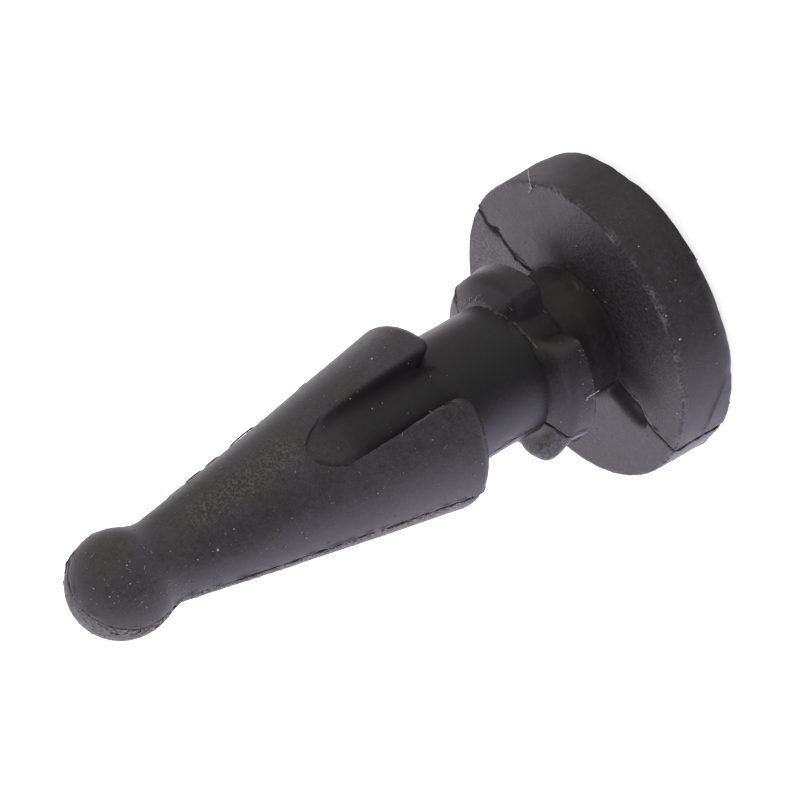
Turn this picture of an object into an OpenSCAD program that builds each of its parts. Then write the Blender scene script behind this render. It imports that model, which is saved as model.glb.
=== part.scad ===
// Fan mounting rivet: one soft moulded pin that holds a fan to a panel without screws.
// The tail is pulled through both holes until the collar has snapped in behind the panel and
// the barb behind the fan's flange. The part stands on the back of its head, tail up.

/* [Head] */
// Diameter of the head
head_d = 10; // [8:0.1:14]
// Thickness of the head
head_t = 2.25; // [1.5:0.05:4]
// Height of the slope round the back of the head
back_slope_h = 0.25; // [0.1:0.05:0.6]
// Width of the slope round the back of the head
back_slope_w = 0.4; // [0.1:0.05:0.8]
// Bevel on the front edge of the head
front_bevel = 0.12; // [0.04:0.02:0.4]

/* [Panel groove] */
// Diameter of the neck that fills the hole in the panel
neck_d = 4.3; // [3:0.1:5]
// Width of the groove that takes the panel
panel_groove = 1.75; // [1:0.05:3]

/* [Collar] */
// Diameter of the snap collar
collar_d = 6; // [5.4:0.1:8]
// Thickness of the snap collar at its rim
collar_t = 0.95; // [0.6:0.05:2]
// Bevel on the collar's back edge, which catches behind the panel
collar_bevel = 0.1; // [0.04:0.02:0.25]
// Bevel on the collar's front edge, which leads through the panel
collar_nose = 0.22; // [0.1:0.02:0.3]
// Height by which the collar's front face rises from the rim to the shank
collar_lead = 0.2; // [0.05:0.05:0.6]
// Width of the collar's two notches at their flat floors
notch_floor_w = 1; // [0.4:0.05:1.6]
// Width of the notches at the full radius of the collar
notch_mouth_w = 2.1; // [1.7:0.05:3]

/* [Fan groove] */
// Diameter of the shank that fills the hole in the fan's flange
shank_d = 4.3; // [3:0.1:5]
// Width of the groove that takes the fan's flange
fan_groove = 3; // [2:0.1:8]

/* [Barb] */
// Diameter of the barb's cone at its back, before the edge is rounded
barb_d = 6.25; // [5.6:0.05:8]
// Radius on the barb's back edge
barb_edge_r = 0.4; // [0.1:0.05:0.5]
// Length of the barb, from its back to the throat
barb_l = 10.1; // [6:0.1:16]
// Diameter of the cone at the throat
throat_d = 2.8; // [1.8:0.1:3.2]

/* [Tail] */
// Diameter of the ball that is gripped and pulled
ball_d = 3.4; // [3.3:0.1:5]
// Distance from the throat to the middle of the ball
ball_reach = 1.75; // [1.2:0.05:3]
// Radius of the hollow between the cone and the ball
hollow_r = 1.5; // [0.5:0.1:3]

/* [Flutes] */
// Width of the two flutes, which let the barb squeeze through a hole
flute_w = 1.65; // [0.8:0.05:2.4]
// Height of the flat floors of the flutes and the notches above the shank
flute_rise = 0.04; // [0.02:0.01:0.3]

/* [Hidden] */
$fn = 128;
rubber = [0.09, 0.085, 0.09];
// Length by which a cutter starts before what it cuts
lead_in = 0.1;

// Heights of the shoulders above the back of the head
collar_z = head_t + panel_groove;
collar_front_z = collar_z + collar_t;
shank_z = collar_front_z + collar_lead;
barb_z = shank_z + fan_groove;
throat_z = barb_z + barb_l;
ball_z = throat_z + ball_reach;

head_r = head_d / 2;
neck_r = neck_d / 2;
collar_r = collar_d / 2;
shank_r = shank_d / 2;
barb_r = barb_d / 2;
throat_r = throat_d / 2;
ball_r = ball_d / 2;
flute_floor = max(neck_r, shank_r) + flute_rise;

// Angle between the cone's side and the axis, and the cone's directions out of and along its side
taper = atan2(barb_r - throat_r, barb_l);
cone_out = [cos(taper), sin(taper)];
cone_along = [-sin(taper), cos(taper)];

// Middle of the arc on the barb's back edge, which touches the back face and the cone
edge_mid = [barb_r - barb_edge_r * (tan(taper) + 1 / cos(taper)), barb_z + barb_edge_r];

// Middle of the hollow's arc, which touches the cone's side and the ball: it lies on a line beside
// the cone, at the point that is both radii away from the middle of the ball
ball_mid = [0, ball_z];
beside_throat = [throat_r, throat_z] + hollow_r * cone_out - ball_mid;
along = beside_throat * cone_along;
spare = beside_throat * beside_throat - pow(ball_r + hollow_r, 2);
hollow_mid = ball_mid + beside_throat - (along + sqrt(along * along - spare)) * cone_along;
hollow_start = hollow_mid - hollow_r * cone_out;
hollow_end = ball_mid + ball_r * (hollow_mid - ball_mid) / (ball_r + hollow_r);

// Half section of the rivet, with the arcs that soften the barb's edge, the throat and the tail
module half_section() {
    difference() {
        polygon([
            [0, 0],
            [head_r - back_slope_w, 0],
            [head_r, back_slope_h],
            [head_r, head_t - front_bevel],
            [head_r - front_bevel, head_t],
            [neck_r, head_t],
            [neck_r, collar_z],
            [collar_r - collar_bevel, collar_z],
            [collar_r, collar_z + collar_bevel],
            [collar_r, collar_front_z - collar_nose],
            [collar_r - collar_nose, collar_front_z],
            [shank_r, shank_z],
            [shank_r, barb_z],
            [edge_mid[0], barb_z],
            edge_mid + barb_edge_r * cone_out,
            hollow_start,
            hollow_end,
            [0, hollow_end[1]]
        ]);
        translate(hollow_mid)
            circle(r = hollow_r);
    }
    translate(edge_mid)
        circle(r = barb_edge_r);
    intersection() {
        translate(ball_mid)
            circle(r = ball_r);
        translate([0, ball_z - ball_r])
            square([ball_r, ball_d]);
    }
}

// One slot along the barb, with its flat floor just clear of the shank
module flute() {
    translate([-flute_w / 2, flute_floor, barb_z - lead_in])
        cube([flute_w, barb_r, ball_z - barb_z]);
}

// One notch through the collar, in line with a flute, with side walls that lean apart
module notch() {
    translate([0, 0, collar_z - lead_in])
        linear_extrude(shank_z - collar_z + 2 * lead_in)
            polygon([
                [-notch_floor_w / 2, flute_floor],
                [notch_floor_w / 2, flute_floor],
                [notch_mouth_w / 2, collar_r],
                [notch_mouth_w / 2, collar_r + lead_in],
                [-notch_mouth_w / 2, collar_r + lead_in],
                [-notch_mouth_w / 2, collar_r]
            ]);
}

// The cuts that the rivet has on each of two opposite sides
module side_cuts() {
    flute();
    notch();
}

module rivet() {
    color(rubber)
        difference() {
            rotate_extrude()
                half_section();
            side_cuts();
            mirror([0, 1, 0])
                side_cuts();
        }
}

rivet();
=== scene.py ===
"""Fan mounting rivet: one soft black rubber moulding that stands on the back of its head.

The moulding is modelled in millimetres and scaled to metres at the end of its making.
Lengths in the size fields are millimetres and angles are degrees, unless a name says otherwise.
"""

import logging
import math
from dataclasses import dataclass
from enum import Enum
from typing import Any, Iterable, Sequence, Union

import bpy
import numpy as np
from mathutils import Matrix, Vector


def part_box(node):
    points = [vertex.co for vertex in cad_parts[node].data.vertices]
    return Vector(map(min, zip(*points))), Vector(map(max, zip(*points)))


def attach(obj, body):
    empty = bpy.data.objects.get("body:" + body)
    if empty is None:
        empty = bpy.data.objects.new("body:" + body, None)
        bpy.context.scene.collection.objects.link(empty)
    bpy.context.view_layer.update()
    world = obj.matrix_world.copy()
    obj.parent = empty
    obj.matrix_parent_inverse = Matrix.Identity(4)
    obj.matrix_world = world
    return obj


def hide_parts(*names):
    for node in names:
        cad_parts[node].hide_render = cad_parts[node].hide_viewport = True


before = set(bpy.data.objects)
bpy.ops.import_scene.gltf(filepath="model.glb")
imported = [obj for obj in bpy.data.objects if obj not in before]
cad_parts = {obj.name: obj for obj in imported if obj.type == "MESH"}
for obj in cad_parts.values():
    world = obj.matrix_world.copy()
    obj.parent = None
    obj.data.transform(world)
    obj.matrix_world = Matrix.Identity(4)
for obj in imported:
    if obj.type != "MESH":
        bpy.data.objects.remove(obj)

MM = 0.001
BODY = "root"
NODE = "rivet"

# A length too small to see, in millimetres
HAIR = 0.01

# Whole numbers that scramble the place of a cell into its own draw
CELL_PRIMES = (73856093, 19349663, 83492791)
SEED_PRIME = 2654435761
SCRAMBLER = 739982445
WORD = 0xFFFFFFFF
HALF_WORD = 0xFFFF

log = logging.getLogger("rivet")

Colour = tuple[float, float, float]
Spot = tuple[float, float, float]
Number = Union[float, "Value"]


def opaque(colour: Colour) -> tuple[float, float, float, float]:
    """Returns the colour with full alpha."""
    return (*colour, 1.0)


def smooth_rise(low: float, high: float, amount: np.ndarray) -> np.ndarray:
    """Rises from 0 to 1 with soft ends, or falls where low is above high.

    Args:
        low: where the result is 0.
        high: where it is 1.
        amount: the values to look up.

    Returns:
        One number from 0 to 1 for each value.
    """
    share = np.clip((amount - low) / (high - low), 0.0, 1.0)
    return share * share * (3.0 - 2.0 * share)


def hump(middle: float, width: float, amount: np.ndarray) -> np.ndarray:
    """Returns a bell curve of height 1 about the middle, with the width as its spread."""
    return np.exp(-(((amount - middle) / width) ** 2))


@dataclass(frozen=True)
class Ramp:
    """A soft rise along one measure, or a fall where the end is below the start.

    Attributes:
        start: where it is 0.
        end: where it is 1.
    """

    start: float
    end: float

    def at(self, amount: np.ndarray) -> np.ndarray:
        """Returns one number from 0 to 1 for each amount."""
        return smooth_rise(self.start, self.end, amount)


@dataclass(frozen=True)
class Bell:
    """A bell curve of height 1 along one measure.

    Attributes:
        middle: where it is highest.
        width: its spread.
    """

    middle: float
    width: float

    def at(self, amount: np.ndarray) -> np.ndarray:
        """Returns one number from 0 to 1 for each amount."""
        return hump(self.middle, self.width, amount)


@dataclass(frozen=True)
class Course:
    """Values that are given at some places, with straight lines between them.

    Attributes:
        places: where the values are given, in rising order.
        values: the value at each place.
    """

    places: tuple[float, ...]
    values: tuple[float, ...]

    def at(self, amount: np.ndarray) -> np.ndarray:
        """Returns the value for each amount."""
        return np.interp(amount, self.places, self.values)


@dataclass(frozen=True)
class Grain:
    """Repeatable lumps in space, the same on every run.

    Attributes:
        size: length of one lump.
        seed: picks one pattern of lumps.
        height: the highest value.
    """

    size: float
    seed: int
    height: float = 1.0

    def at(self, spots: np.ndarray) -> np.ndarray:
        """Looks up the lumps.

        Args:
            spots: rows of x, y and z.

        Returns:
            One number for each row, between the height below 0 and the height above it.
        """
        scaled = spots / self.size
        cell = np.floor(scaled).astype(np.int64)
        share = scaled - cell
        share = share * share * (3.0 - 2.0 * share)
        total = np.zeros(len(spots))
        for corner in np.ndindex(2, 2, 2):
            step = np.array(corner)
            weight = np.prod(np.where(step == 1, share, 1.0 - share), axis=1)
            total += weight * self._draw(cell + step)
        return self.height * total

    def _draw(self, cell: np.ndarray) -> np.ndarray:
        """Gives each cell its own number from -1 to 1.

        Args:
            cell: rows of whole numbers.

        Returns:
            One number for each row.
        """
        mask = np.int64(WORD)
        first, second, third = (cell[:, axis] * prime for axis, prime in enumerate(CELL_PRIMES))
        mixed = ((first ^ second ^ third) ^ (self.seed * SEED_PRIME)) & mask
        for _ in range(2):
            mixed = ((mixed ^ (mixed >> 15)) * SCRAMBLER) & mask
        mixed = mixed ^ (mixed >> 13)
        return (mixed & HALF_WORD) / (0.5 * HALF_WORD) - 1.0


class Value:
    """A number that changes over a surface, with arithmetic that adds Math nodes."""

    def __init__(self, bench: "NodeBench", socket: bpy.types.NodeSocket) -> None:
        """Wraps a socket.

        Args:
            bench: the node tree that the socket is in.
            socket: the output that gives the number.
        """
        self.bench = bench
        self.socket = socket

    def _math(self, operation: str, first: Number, second: Number) -> "Value":
        """Adds one Math node.

        Args:
            operation: Blender's name of the operation.
            first: the left side.
            second: the right side.

        Returns:
            The node's result.
        """
        node = self.bench.node("ShaderNodeMath", {"operation": operation}, {0: first, 1: second})
        return Value(self.bench, node.outputs[0])

    def __add__(self, other: Number) -> "Value":
        """Adds a number or a value."""
        return self._math("ADD", self, other)

    def __radd__(self, other: Number) -> "Value":
        """Is added to a number."""
        return self._math("ADD", other, self)

    def __sub__(self, other: Number) -> "Value":
        """Takes a number or a value away."""
        return self._math("SUBTRACT", self, other)

    def __rsub__(self, other: Number) -> "Value":
        """Is taken away from a number."""
        return self._math("SUBTRACT", other, self)

    def __mul__(self, other: Number) -> "Value":
        """Multiplies by a number or a value."""
        return self._math("MULTIPLY", self, other)

    def __rmul__(self, other: Number) -> "Value":
        """Multiplies a number."""
        return self._math("MULTIPLY", other, self)

    def at_most(self, other: Number) -> "Value":
        """Returns the smaller of the two."""
        return self._math("MINIMUM", self, other)

    def at_least(self, other: Number) -> "Value":
        """Returns the larger of the two."""
        return self._math("MAXIMUM", self, other)

    def rise(self, low: float, high: float) -> "Value":
        """Rises from 0 to 1 with soft ends, or falls where low is above high.

        Args:
            low: where the result is 0.
            high: where the result is 1.

        Returns:
            The result, from 0 to 1.
        """
        upward = low < high
        settings = {"interpolation_type": "SMOOTHSTEP", "clamp": True}
        ends = {
            "Value": self,
            "From Min": min(low, high),
            "From Max": max(low, high),
            "To Min": 0.0 if upward else 1.0,
            "To Max": 1.0 if upward else 0.0,
        }
        node = self.bench.node("ShaderNodeMapRange", settings, ends)
        return Value(self.bench, node.outputs["Result"])


class NodeBench:
    """One node tree, and the only place that nodes come from."""

    def __init__(self, tree: bpy.types.NodeTree) -> None:
        """Starts from an empty tree.

        Args:
            tree: the tree of a material or of the world.
        """
        self.tree = tree
        tree.nodes.clear()

    def node(self, kind: str, settings: dict[str, Any], inputs: dict[Any, Any]) -> bpy.types.Node:
        """Adds a node.

        Args:
            kind: Blender's type name.
            settings: the node's own settings, which are set first.
            inputs: a number, colour, value or socket for each named or numbered socket.

        Returns:
            The node.
        """
        node = self.tree.nodes.new(kind)
        for name, setting in settings.items():
            setattr(node, name, setting)
        for key, given in inputs.items():
            socket = node.inputs[key]
            if isinstance(given, Value):
                self.tree.links.new(given.socket, socket)
            elif isinstance(given, bpy.types.NodeSocket):
                self.tree.links.new(given, socket)
            else:
                socket.default_value = given
        return node

    def mix(self, share: Number, first: Any, second: Any) -> bpy.types.NodeSocket:
        """Mixes two colours.

        Args:
            share: 0 gives the first colour, 1 the second.
            first: a colour or a socket.
            second: a colour or a socket.

        Returns:
            The mixed colour.
        """
        ends = [opaque(end) if isinstance(end, tuple) else end for end in (first, second)]
        inputs = {0: share, 6: ends[0], 7: ends[1]}
        return self.node("ShaderNodeMix", {"data_type": "RGBA"}, inputs).outputs[2]

    def vector(self, operation: str, first: Any, second: Any) -> bpy.types.Node:
        """Adds a Vector Math node.

        Args:
            operation: Blender's name of the operation.
            first: a vector or a socket.
            second: a vector or a socket.

        Returns:
            The node.
        """
        return self.node("ShaderNodeVectorMath", {"operation": operation}, {0: first, 1: second})

    def dot(self, vector: bpy.types.NodeSocket, direction: Sequence[float]) -> Value:
        """Returns how far the vector reaches along the direction."""
        return Value(self, self.vector("DOT_PRODUCT", vector, tuple(direction)).outputs["Value"])

    def millimetres(self) -> bpy.types.NodeSocket:
        """Returns the surface's own place in millimetres, from Object coordinates."""
        place = self.node("ShaderNodeTexCoord", {}, {}).outputs["Object"]
        scale = {0: place, "Scale": 1.0 / MM}
        return self.node("ShaderNodeVectorMath", {"operation": "SCALE"}, scale).outputs["Vector"]

    def noise(self, place: bpy.types.NodeSocket, per_mm: float, detail: float = 2.0) -> Value:
        """Adds a noise texture.

        Args:
            place: where to look the noise up.
            per_mm: lumps in one millimetre.
            detail: octaves.

        Returns:
            A value about 0.5.
        """
        inputs = {"Vector": place, "Scale": per_mm, "Detail": detail, "Roughness": 0.55}
        return Value(self, self.node("ShaderNodeTexNoise", {}, inputs).outputs["Fac"])

    def specks(self, place: bpy.types.NodeSocket, per_mm: float, reach: float) -> Value:
        """Adds small round spots, each in a cell of its own.

        Args:
            place: where to look the spots up.
            per_mm: cells in one millimetre.
            reach: radius of a spot, in cells.

        Returns:
            1 in a spot and 0 outside.
        """
        inputs = {"Vector": place, "Scale": per_mm, "Randomness": 1.0}
        node = self.node("ShaderNodeTexVoronoi", {"feature": "F1"}, inputs)
        return Value(self, node.outputs["Distance"]).rise(reach, reach * 0.5)

    def attribute(self, name: str) -> Value:
        """Returns a number that the mesh holds for each of its points."""
        node = self.node("ShaderNodeAttribute", {"attribute_name": name}, {})
        return Value(self, node.outputs["Fac"])


class Mark(Enum):
    """What the mesh of the moulding says about each of its points."""

    # Wear on edges and worn places, with painted highlights on the head's front edge, the neck and the far
    # flash
    WEAR = "wear_and_highlight"
    # Painted shade: a darker, duller colour where shadow falls or where dark surroundings would be
    # reflected
    SEAM = "painted_shade"
    ROUGH = "rough_skin"
    MATT = "matt_skin"
    CRACK = "crack"
    # Partly a scuff and partly painted light: a paler patch on the neck
    SCUFF = "scuff_and_light"


@dataclass(frozen=True)
class RubberFinish:
    """Black rubber: satin where it was kept clean, matt and greyer where it was handled.

    Attributes:
        matt: colour of matt skin where it is warm.
        cool: colour of matt skin where it is cool.
        satin: roughness of satin rubber.
        dull: roughness of matt skin.
        cloud_per_mm: lumps in a millimetre of the widest noise. Finer ones follow.
        wrinkles_per_mm: wrinkles in a millimetre along each axis.
        dust_per_mm: cells in a millimetre, each with one speck of dust.
        painted_shade_dark: how dark the places with painted shade get.
        crack_dark: how dark the cracks get.
    """

    name: str = "black_rubber"
    clean: Colour = (0.0125, 0.0118, 0.0118)
    matt: Colour = (0.083, 0.0755, 0.0725)
    cool: Colour = (0.0765, 0.0735, 0.0785)
    # Colour of the cracks, and also of the painted shade
    crack: Colour = (0.022, 0.019, 0.0205)
    # Colour of the neck's scuff, which also paints light on the neck
    scuff_and_light_colour: Colour = (0.085, 0.08, 0.073)
    # Colour of worn places, also used for painted highlights
    worn: Colour = (0.235, 0.222, 0.219)
    grainy: Colour = (0.145, 0.136, 0.115)
    dust: Colour = (0.3, 0.29, 0.29)
    satin: float = 0.38
    dull: float = 0.54
    roughest: float = 0.8
    cloud_per_mm: float = 0.55
    mottle_per_mm: float = 3.2
    lumps_per_mm: float = 8.5
    grit_per_mm: float = 17.0
    wrinkles_per_mm: tuple[float, float, float] = (12.0, 12.0, 16.0)
    dust_per_mm: float = 3.4
    fine_dust_per_mm: float = 7.0
    bump_strength: float = 0.6
    bump_h: float = 0.02
    painted_shade_dark: float = 0.85
    crack_dark: float = 0.75

    def make(self) -> bpy.types.Material:
        """Builds the material.

        Returns:
            The material, which reads the marks of the mesh, painted shade and painted light among them.
        """
        material = bpy.data.materials.new(self.name)
        material.use_nodes = True
        bench = NodeBench(material.node_tree)
        # seam below is the mark of painted shade, not of the parting line
        wear, seam, rough, matt, crack, scuff_and_light = (bench.attribute(kind.value) for kind in Mark)
        place = bench.millimetres()
        cloud = bench.noise(place, self.cloud_per_mm, 3.0)
        mottle = bench.noise(place, self.mottle_per_mm, 3.0)
        lumps = bench.noise(place, self.lumps_per_mm)
        grit = bench.noise(place, self.grit_per_mm)
        stretched = bench.vector("MULTIPLY", place, self.wrinkles_per_mm).outputs["Vector"]
        wrinkles = bench.noise(stretched, 1.0, 3.0)
        # Noise from wide to fine breaks the marks up
        uneven = 1.0 * (mottle - 0.5) + 1.1 * (lumps - 0.5) + 0.8 * (grit - 0.5)
        matt = matt * (0.4 + 1.15 * cloud + uneven)
        worn = (wear * (0.15 + 0.9 * lumps.rise(0.45, 0.6) + 0.5 * grit.rise(0.5, 0.66))).at_most(1.0)
        grains = rough * wrinkles.rise(0.44, 0.58) * (0.3 + 1.4 * lumps)
        torn = crack + 0.9 * (lumps - 0.5) + 0.8 * (grit - 0.5)
        crack = torn.rise(0.42, 0.6) * crack.rise(0.05, 0.25)
        # Dust lies in drifts, and shows most on matt skin
        drifts = bench.noise(place, 0.8, 1.0).rise(0.42, 0.62)
        fine_drifts = bench.noise(place, 1.1, 1.0).rise(0.38, 0.66)
        dust = bench.specks(place, self.dust_per_mm, 0.08) * drifts
        fine_dust = bench.specks(place, self.fine_dust_per_mm, 0.17) * fine_drifts
        # Colours, each laid over the ones before it
        skin = bench.mix(cloud.rise(0.38, 0.62), self.matt, self.cool)
        colour = bench.mix(matt.at_most(1.0), self.clean, skin)
        colour = bench.mix(worn * 0.75, colour, self.worn)
        # The neck's scuff, partly painted light
        colour = bench.mix(scuff_and_light * (0.5 + 0.6 * mottle), colour, self.scuff_and_light_colour)
        colour = bench.mix(grains * 0.9, colour, self.grainy)
        colour = bench.mix(fine_dust * (0.08 + 0.34 * matt), colour, self.dust)
        colour = bench.mix(dust * (0.1 + 0.4 * matt), colour, self.dust)
        roughness = self.satin + (self.dull - self.satin) * (matt + rough * 0.3 + worn * 0.6)
        roughness = roughness + 0.14 * (mottle - 0.5) + seam * 0.3 + crack * 0.3
        height = grit * 0.3 + lumps * 0.35 + mottle * 0.5
        height = height + dust * 0.6 + grains * 1.3 + worn * 0.5 - crack * 1.5
        bump = bench.node(
            "ShaderNodeBump",
            {},
            {"Strength": self.bump_strength, "Distance": self.bump_h * MM, "Height": height},
        )
        shader = bench.node(
            "ShaderNodeBsdfPrincipled",
            {},
            {
                "Base Color": colour,
                "Roughness": roughness.at_most(self.roughest),
                "Normal": bump.outputs["Normal"],
            },
        )
        # A dark diffuse shader in the crack colour darkens the cracks and paints shade where the shade
        # mark says, taking their reflections away
        dark = bench.node("ShaderNodeBsdfDiffuse", {}, {"Color": opaque(self.crack)})
        share = (seam * self.painted_shade_dark).at_least(crack * self.crack_dark)
        ends = {0: share, 1: shader.outputs[0], 2: dark.outputs[0]}
        both = bench.node("ShaderNodeMixShader", {}, ends)
        bench.node("ShaderNodeOutputMaterial", {}, {"Surface": both.outputs[0]})
        return material


@dataclass(frozen=True)
class LintFinish:
    """Lint, dust and thin flash that lie on the rubber.

    Attributes:
        name: the material's name.
        thread: the lighter colour.
        shadow: the darker colour.
        gloss: strength of the reflections.
    """

    name: str
    thread: Colour
    shadow: Colour
    gloss: float = 0.5

    def make(self) -> bpy.types.Material:
        """Builds the material.

        Returns:
            The material.
        """
        material = bpy.data.materials.new(self.name)
        material.use_nodes = True
        bench = NodeBench(material.node_tree)
        fleck = bench.noise(bench.millimetres(), 9.0, 2.0)
        colour = bench.mix(fleck.rise(0.35, 0.65), self.shadow, self.thread)
        shader = bench.node(
            "ShaderNodeBsdfPrincipled",
            {},
            {"Base Color": colour, "Roughness": 0.8 + 0.1 * fleck, "Specular IOR Level": self.gloss},
        )
        bench.node("ShaderNodeOutputMaterial", {}, {"Surface": shader.outputs["BSDF"]})
        return material


class Outline:
    """A half section drawn from row to row, as lines and arcs."""

    def __init__(self, radius: float, height: float) -> None:
        """Starts the section.

        Args:
            radius: first radius.
            height: first height.
        """
        self.rows: list[tuple[float, float]] = [(radius, height)]

    def line(self, radius: float, height: float, rows: int) -> None:
        """Goes straight on.

        Args:
            radius: radius at the end.
            height: height at the end.
            rows: how many rows the line takes.
        """
        first = np.array(self.rows[-1])
        last = np.array((radius, height))
        for share in np.linspace(0.0, 1.0, rows + 1)[1:]:
            self.rows.append(tuple(first + (last - first) * share))

    def arc(self, middle: Sequence[float], radius: float, turn: tuple[float, float], rows: int) -> None:
        """Goes on round a middle.

        Args:
            middle: radius and height of the arc's middle.
            radius: radius of the arc.
            turn: angles at which the arc starts and ends.
            rows: how many rows the arc takes.
        """
        for angle in np.radians(np.linspace(turn[0], turn[1], rows + 1)[1:]):
            self.rows.append((middle[0] + radius * math.cos(angle), middle[1] + radius * math.sin(angle)))


class Piece:
    """Modelling steps that the pieces share, drawn in millimetres and handed over in metres.

    Attributes:
        name: the piece's name.
        smooth_angle: edges that are less sharp than this are shaded smooth.
    """

    name: str = ""
    smooth_angle: float = 40.0

    def start_at(self, spot: Sequence[float]) -> bpy.types.Object:
        """Adds a plane, merges it to one point and stays in edit mode.

        Args:
            spot: where the point is.

        Returns:
            The new object.
        """
        bpy.ops.object.select_all(action="DESELECT")
        bpy.ops.mesh.primitive_plane_add(size=1.0, location=(0.0, 0.0, 0.0))
        thing = bpy.context.object
        thing.name = self.name
        bpy.ops.object.mode_set(mode="EDIT")
        bpy.ops.mesh.select_all(action="SELECT")
        bpy.ops.mesh.merge(type="CENTER")
        bpy.ops.transform.translate(value=tuple(spot))
        return thing

    @staticmethod
    def pull_through(spots: Iterable[Sequence[float]], start: Sequence[float]) -> None:
        """Extrudes what is selected from spot to spot.

        Args:
            spots: the places to pass.
            start: where the selection is now.
        """
        here = np.array(start, float)
        for spot in spots:
            move = np.array(spot, float) - here
            bpy.ops.mesh.extrude_region_move(TRANSFORM_OT_translate={"value": tuple(move)})
            here = here + move

    @staticmethod
    def close_mesh(gap: float) -> None:
        """Merges doubles, drops faces without area and turns all faces outwards.

        Args:
            gap: points nearer than this are merged.
        """
        bpy.ops.mesh.select_all(action="SELECT")
        bpy.ops.mesh.remove_doubles(threshold=gap)
        bpy.ops.mesh.dissolve_degenerate(threshold=gap)
        bpy.ops.mesh.select_all(action="SELECT")
        bpy.ops.mesh.normals_make_consistent(inside=False)

    @staticmethod
    def spots(thing: bpy.types.Object) -> np.ndarray:
        """Returns the mesh's points as rows of x, y and z."""
        flat = np.empty(len(thing.data.vertices) * 3, np.float64)
        thing.data.vertices.foreach_get("co", flat)
        return flat.reshape(-1, 3)

    @staticmethod
    def facing(thing: bpy.types.Object) -> np.ndarray:
        """Returns the outward direction at each of the mesh's points."""
        flat = np.empty(len(thing.data.vertices) * 3, np.float64)
        thing.data.vertex_normals.foreach_get("vector", flat)
        return flat.reshape(-1, 3)

    @staticmethod
    def move_to(thing: bpy.types.Object, spots: np.ndarray) -> None:
        """Puts the mesh's points at new places.

        Args:
            thing: the object.
            spots: one row for each point.
        """
        thing.data.vertices.foreach_set("co", np.ascontiguousarray(spots, np.float32).ravel())
        thing.data.update()

    @staticmethod
    def write_mark(thing: bpy.types.Object, kind: Mark, amounts: np.ndarray) -> None:
        """Writes one number on each point of a mesh, for its material to read.

        Args:
            thing: the object.
            kind: what the numbers say.
            amounts: the numbers, held between 0 and 1.
        """
        layer = thing.data.attributes.new(kind.value, "FLOAT", "POINT")
        layer.data.foreach_set("value", np.ascontiguousarray(np.clip(amounts, 0.0, 1.0), np.float32))

    def join(self, things: Sequence[bpy.types.Object]) -> bpy.types.Object:
        """Joins objects into one, which stays selected and active.

        Args:
            things: the objects, of which the first one stays.

        Returns:
            The joined object, under the piece's name.
        """
        bpy.ops.object.select_all(action="DESELECT")
        for thing in things:
            thing.select_set(True)
        bpy.context.view_layer.objects.active = things[0]
        if len(things) > 1:
            bpy.ops.object.join()
        things[0].name = self.name
        return things[0]

    def hand_over(self, thing: bpy.types.Object, material: bpy.types.Material) -> None:
        """Scales the piece to metres, dresses it and lets it ride on the part.

        Args:
            thing: the finished object.
            material: its finish.
        """
        bpy.ops.object.select_all(action="DESELECT")
        thing.select_set(True)
        bpy.context.view_layer.objects.active = thing
        thing.scale = (MM, MM, MM)
        bpy.ops.object.transform_apply(location=True, rotation=True, scale=True)
        bpy.ops.object.shade_smooth_by_angle(angle=math.radians(self.smooth_angle))
        thing.data.materials.clear()
        thing.data.materials.append(material)
        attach(thing, BODY)
        mesh = thing.data
        log.info("%s: %d points, %d faces", thing.name, len(mesh.vertices), len(mesh.polygons))


class Places:
    """The points of a mesh, with the measures that its relief and its marks are worked out from.

    Attributes:
        spots: rows of x, y and z.
        flat: the same rows with every y at 0.
        x, y, z: the columns of the rows.
        radius: distance of each point from the axis.
        turn: azimuth of each point.
    """

    def __init__(self, spots: np.ndarray) -> None:
        """Measures the points.

        Args:
            spots: rows of x, y and z.
        """
        self.spots = spots
        self.flat = spots * (1.0, 0.0, 1.0)
        self.x, self.y, self.z = spots.T
        self.radius = np.hypot(self.x, self.y)
        self.turn = np.degrees(np.arctan2(self.y, self.x))

    def off(self, radius: float, height: float) -> np.ndarray:
        """Returns how far each point is from the ring at a radius and a height."""
        return np.hypot(self.radius - radius, self.z - height)


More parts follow.
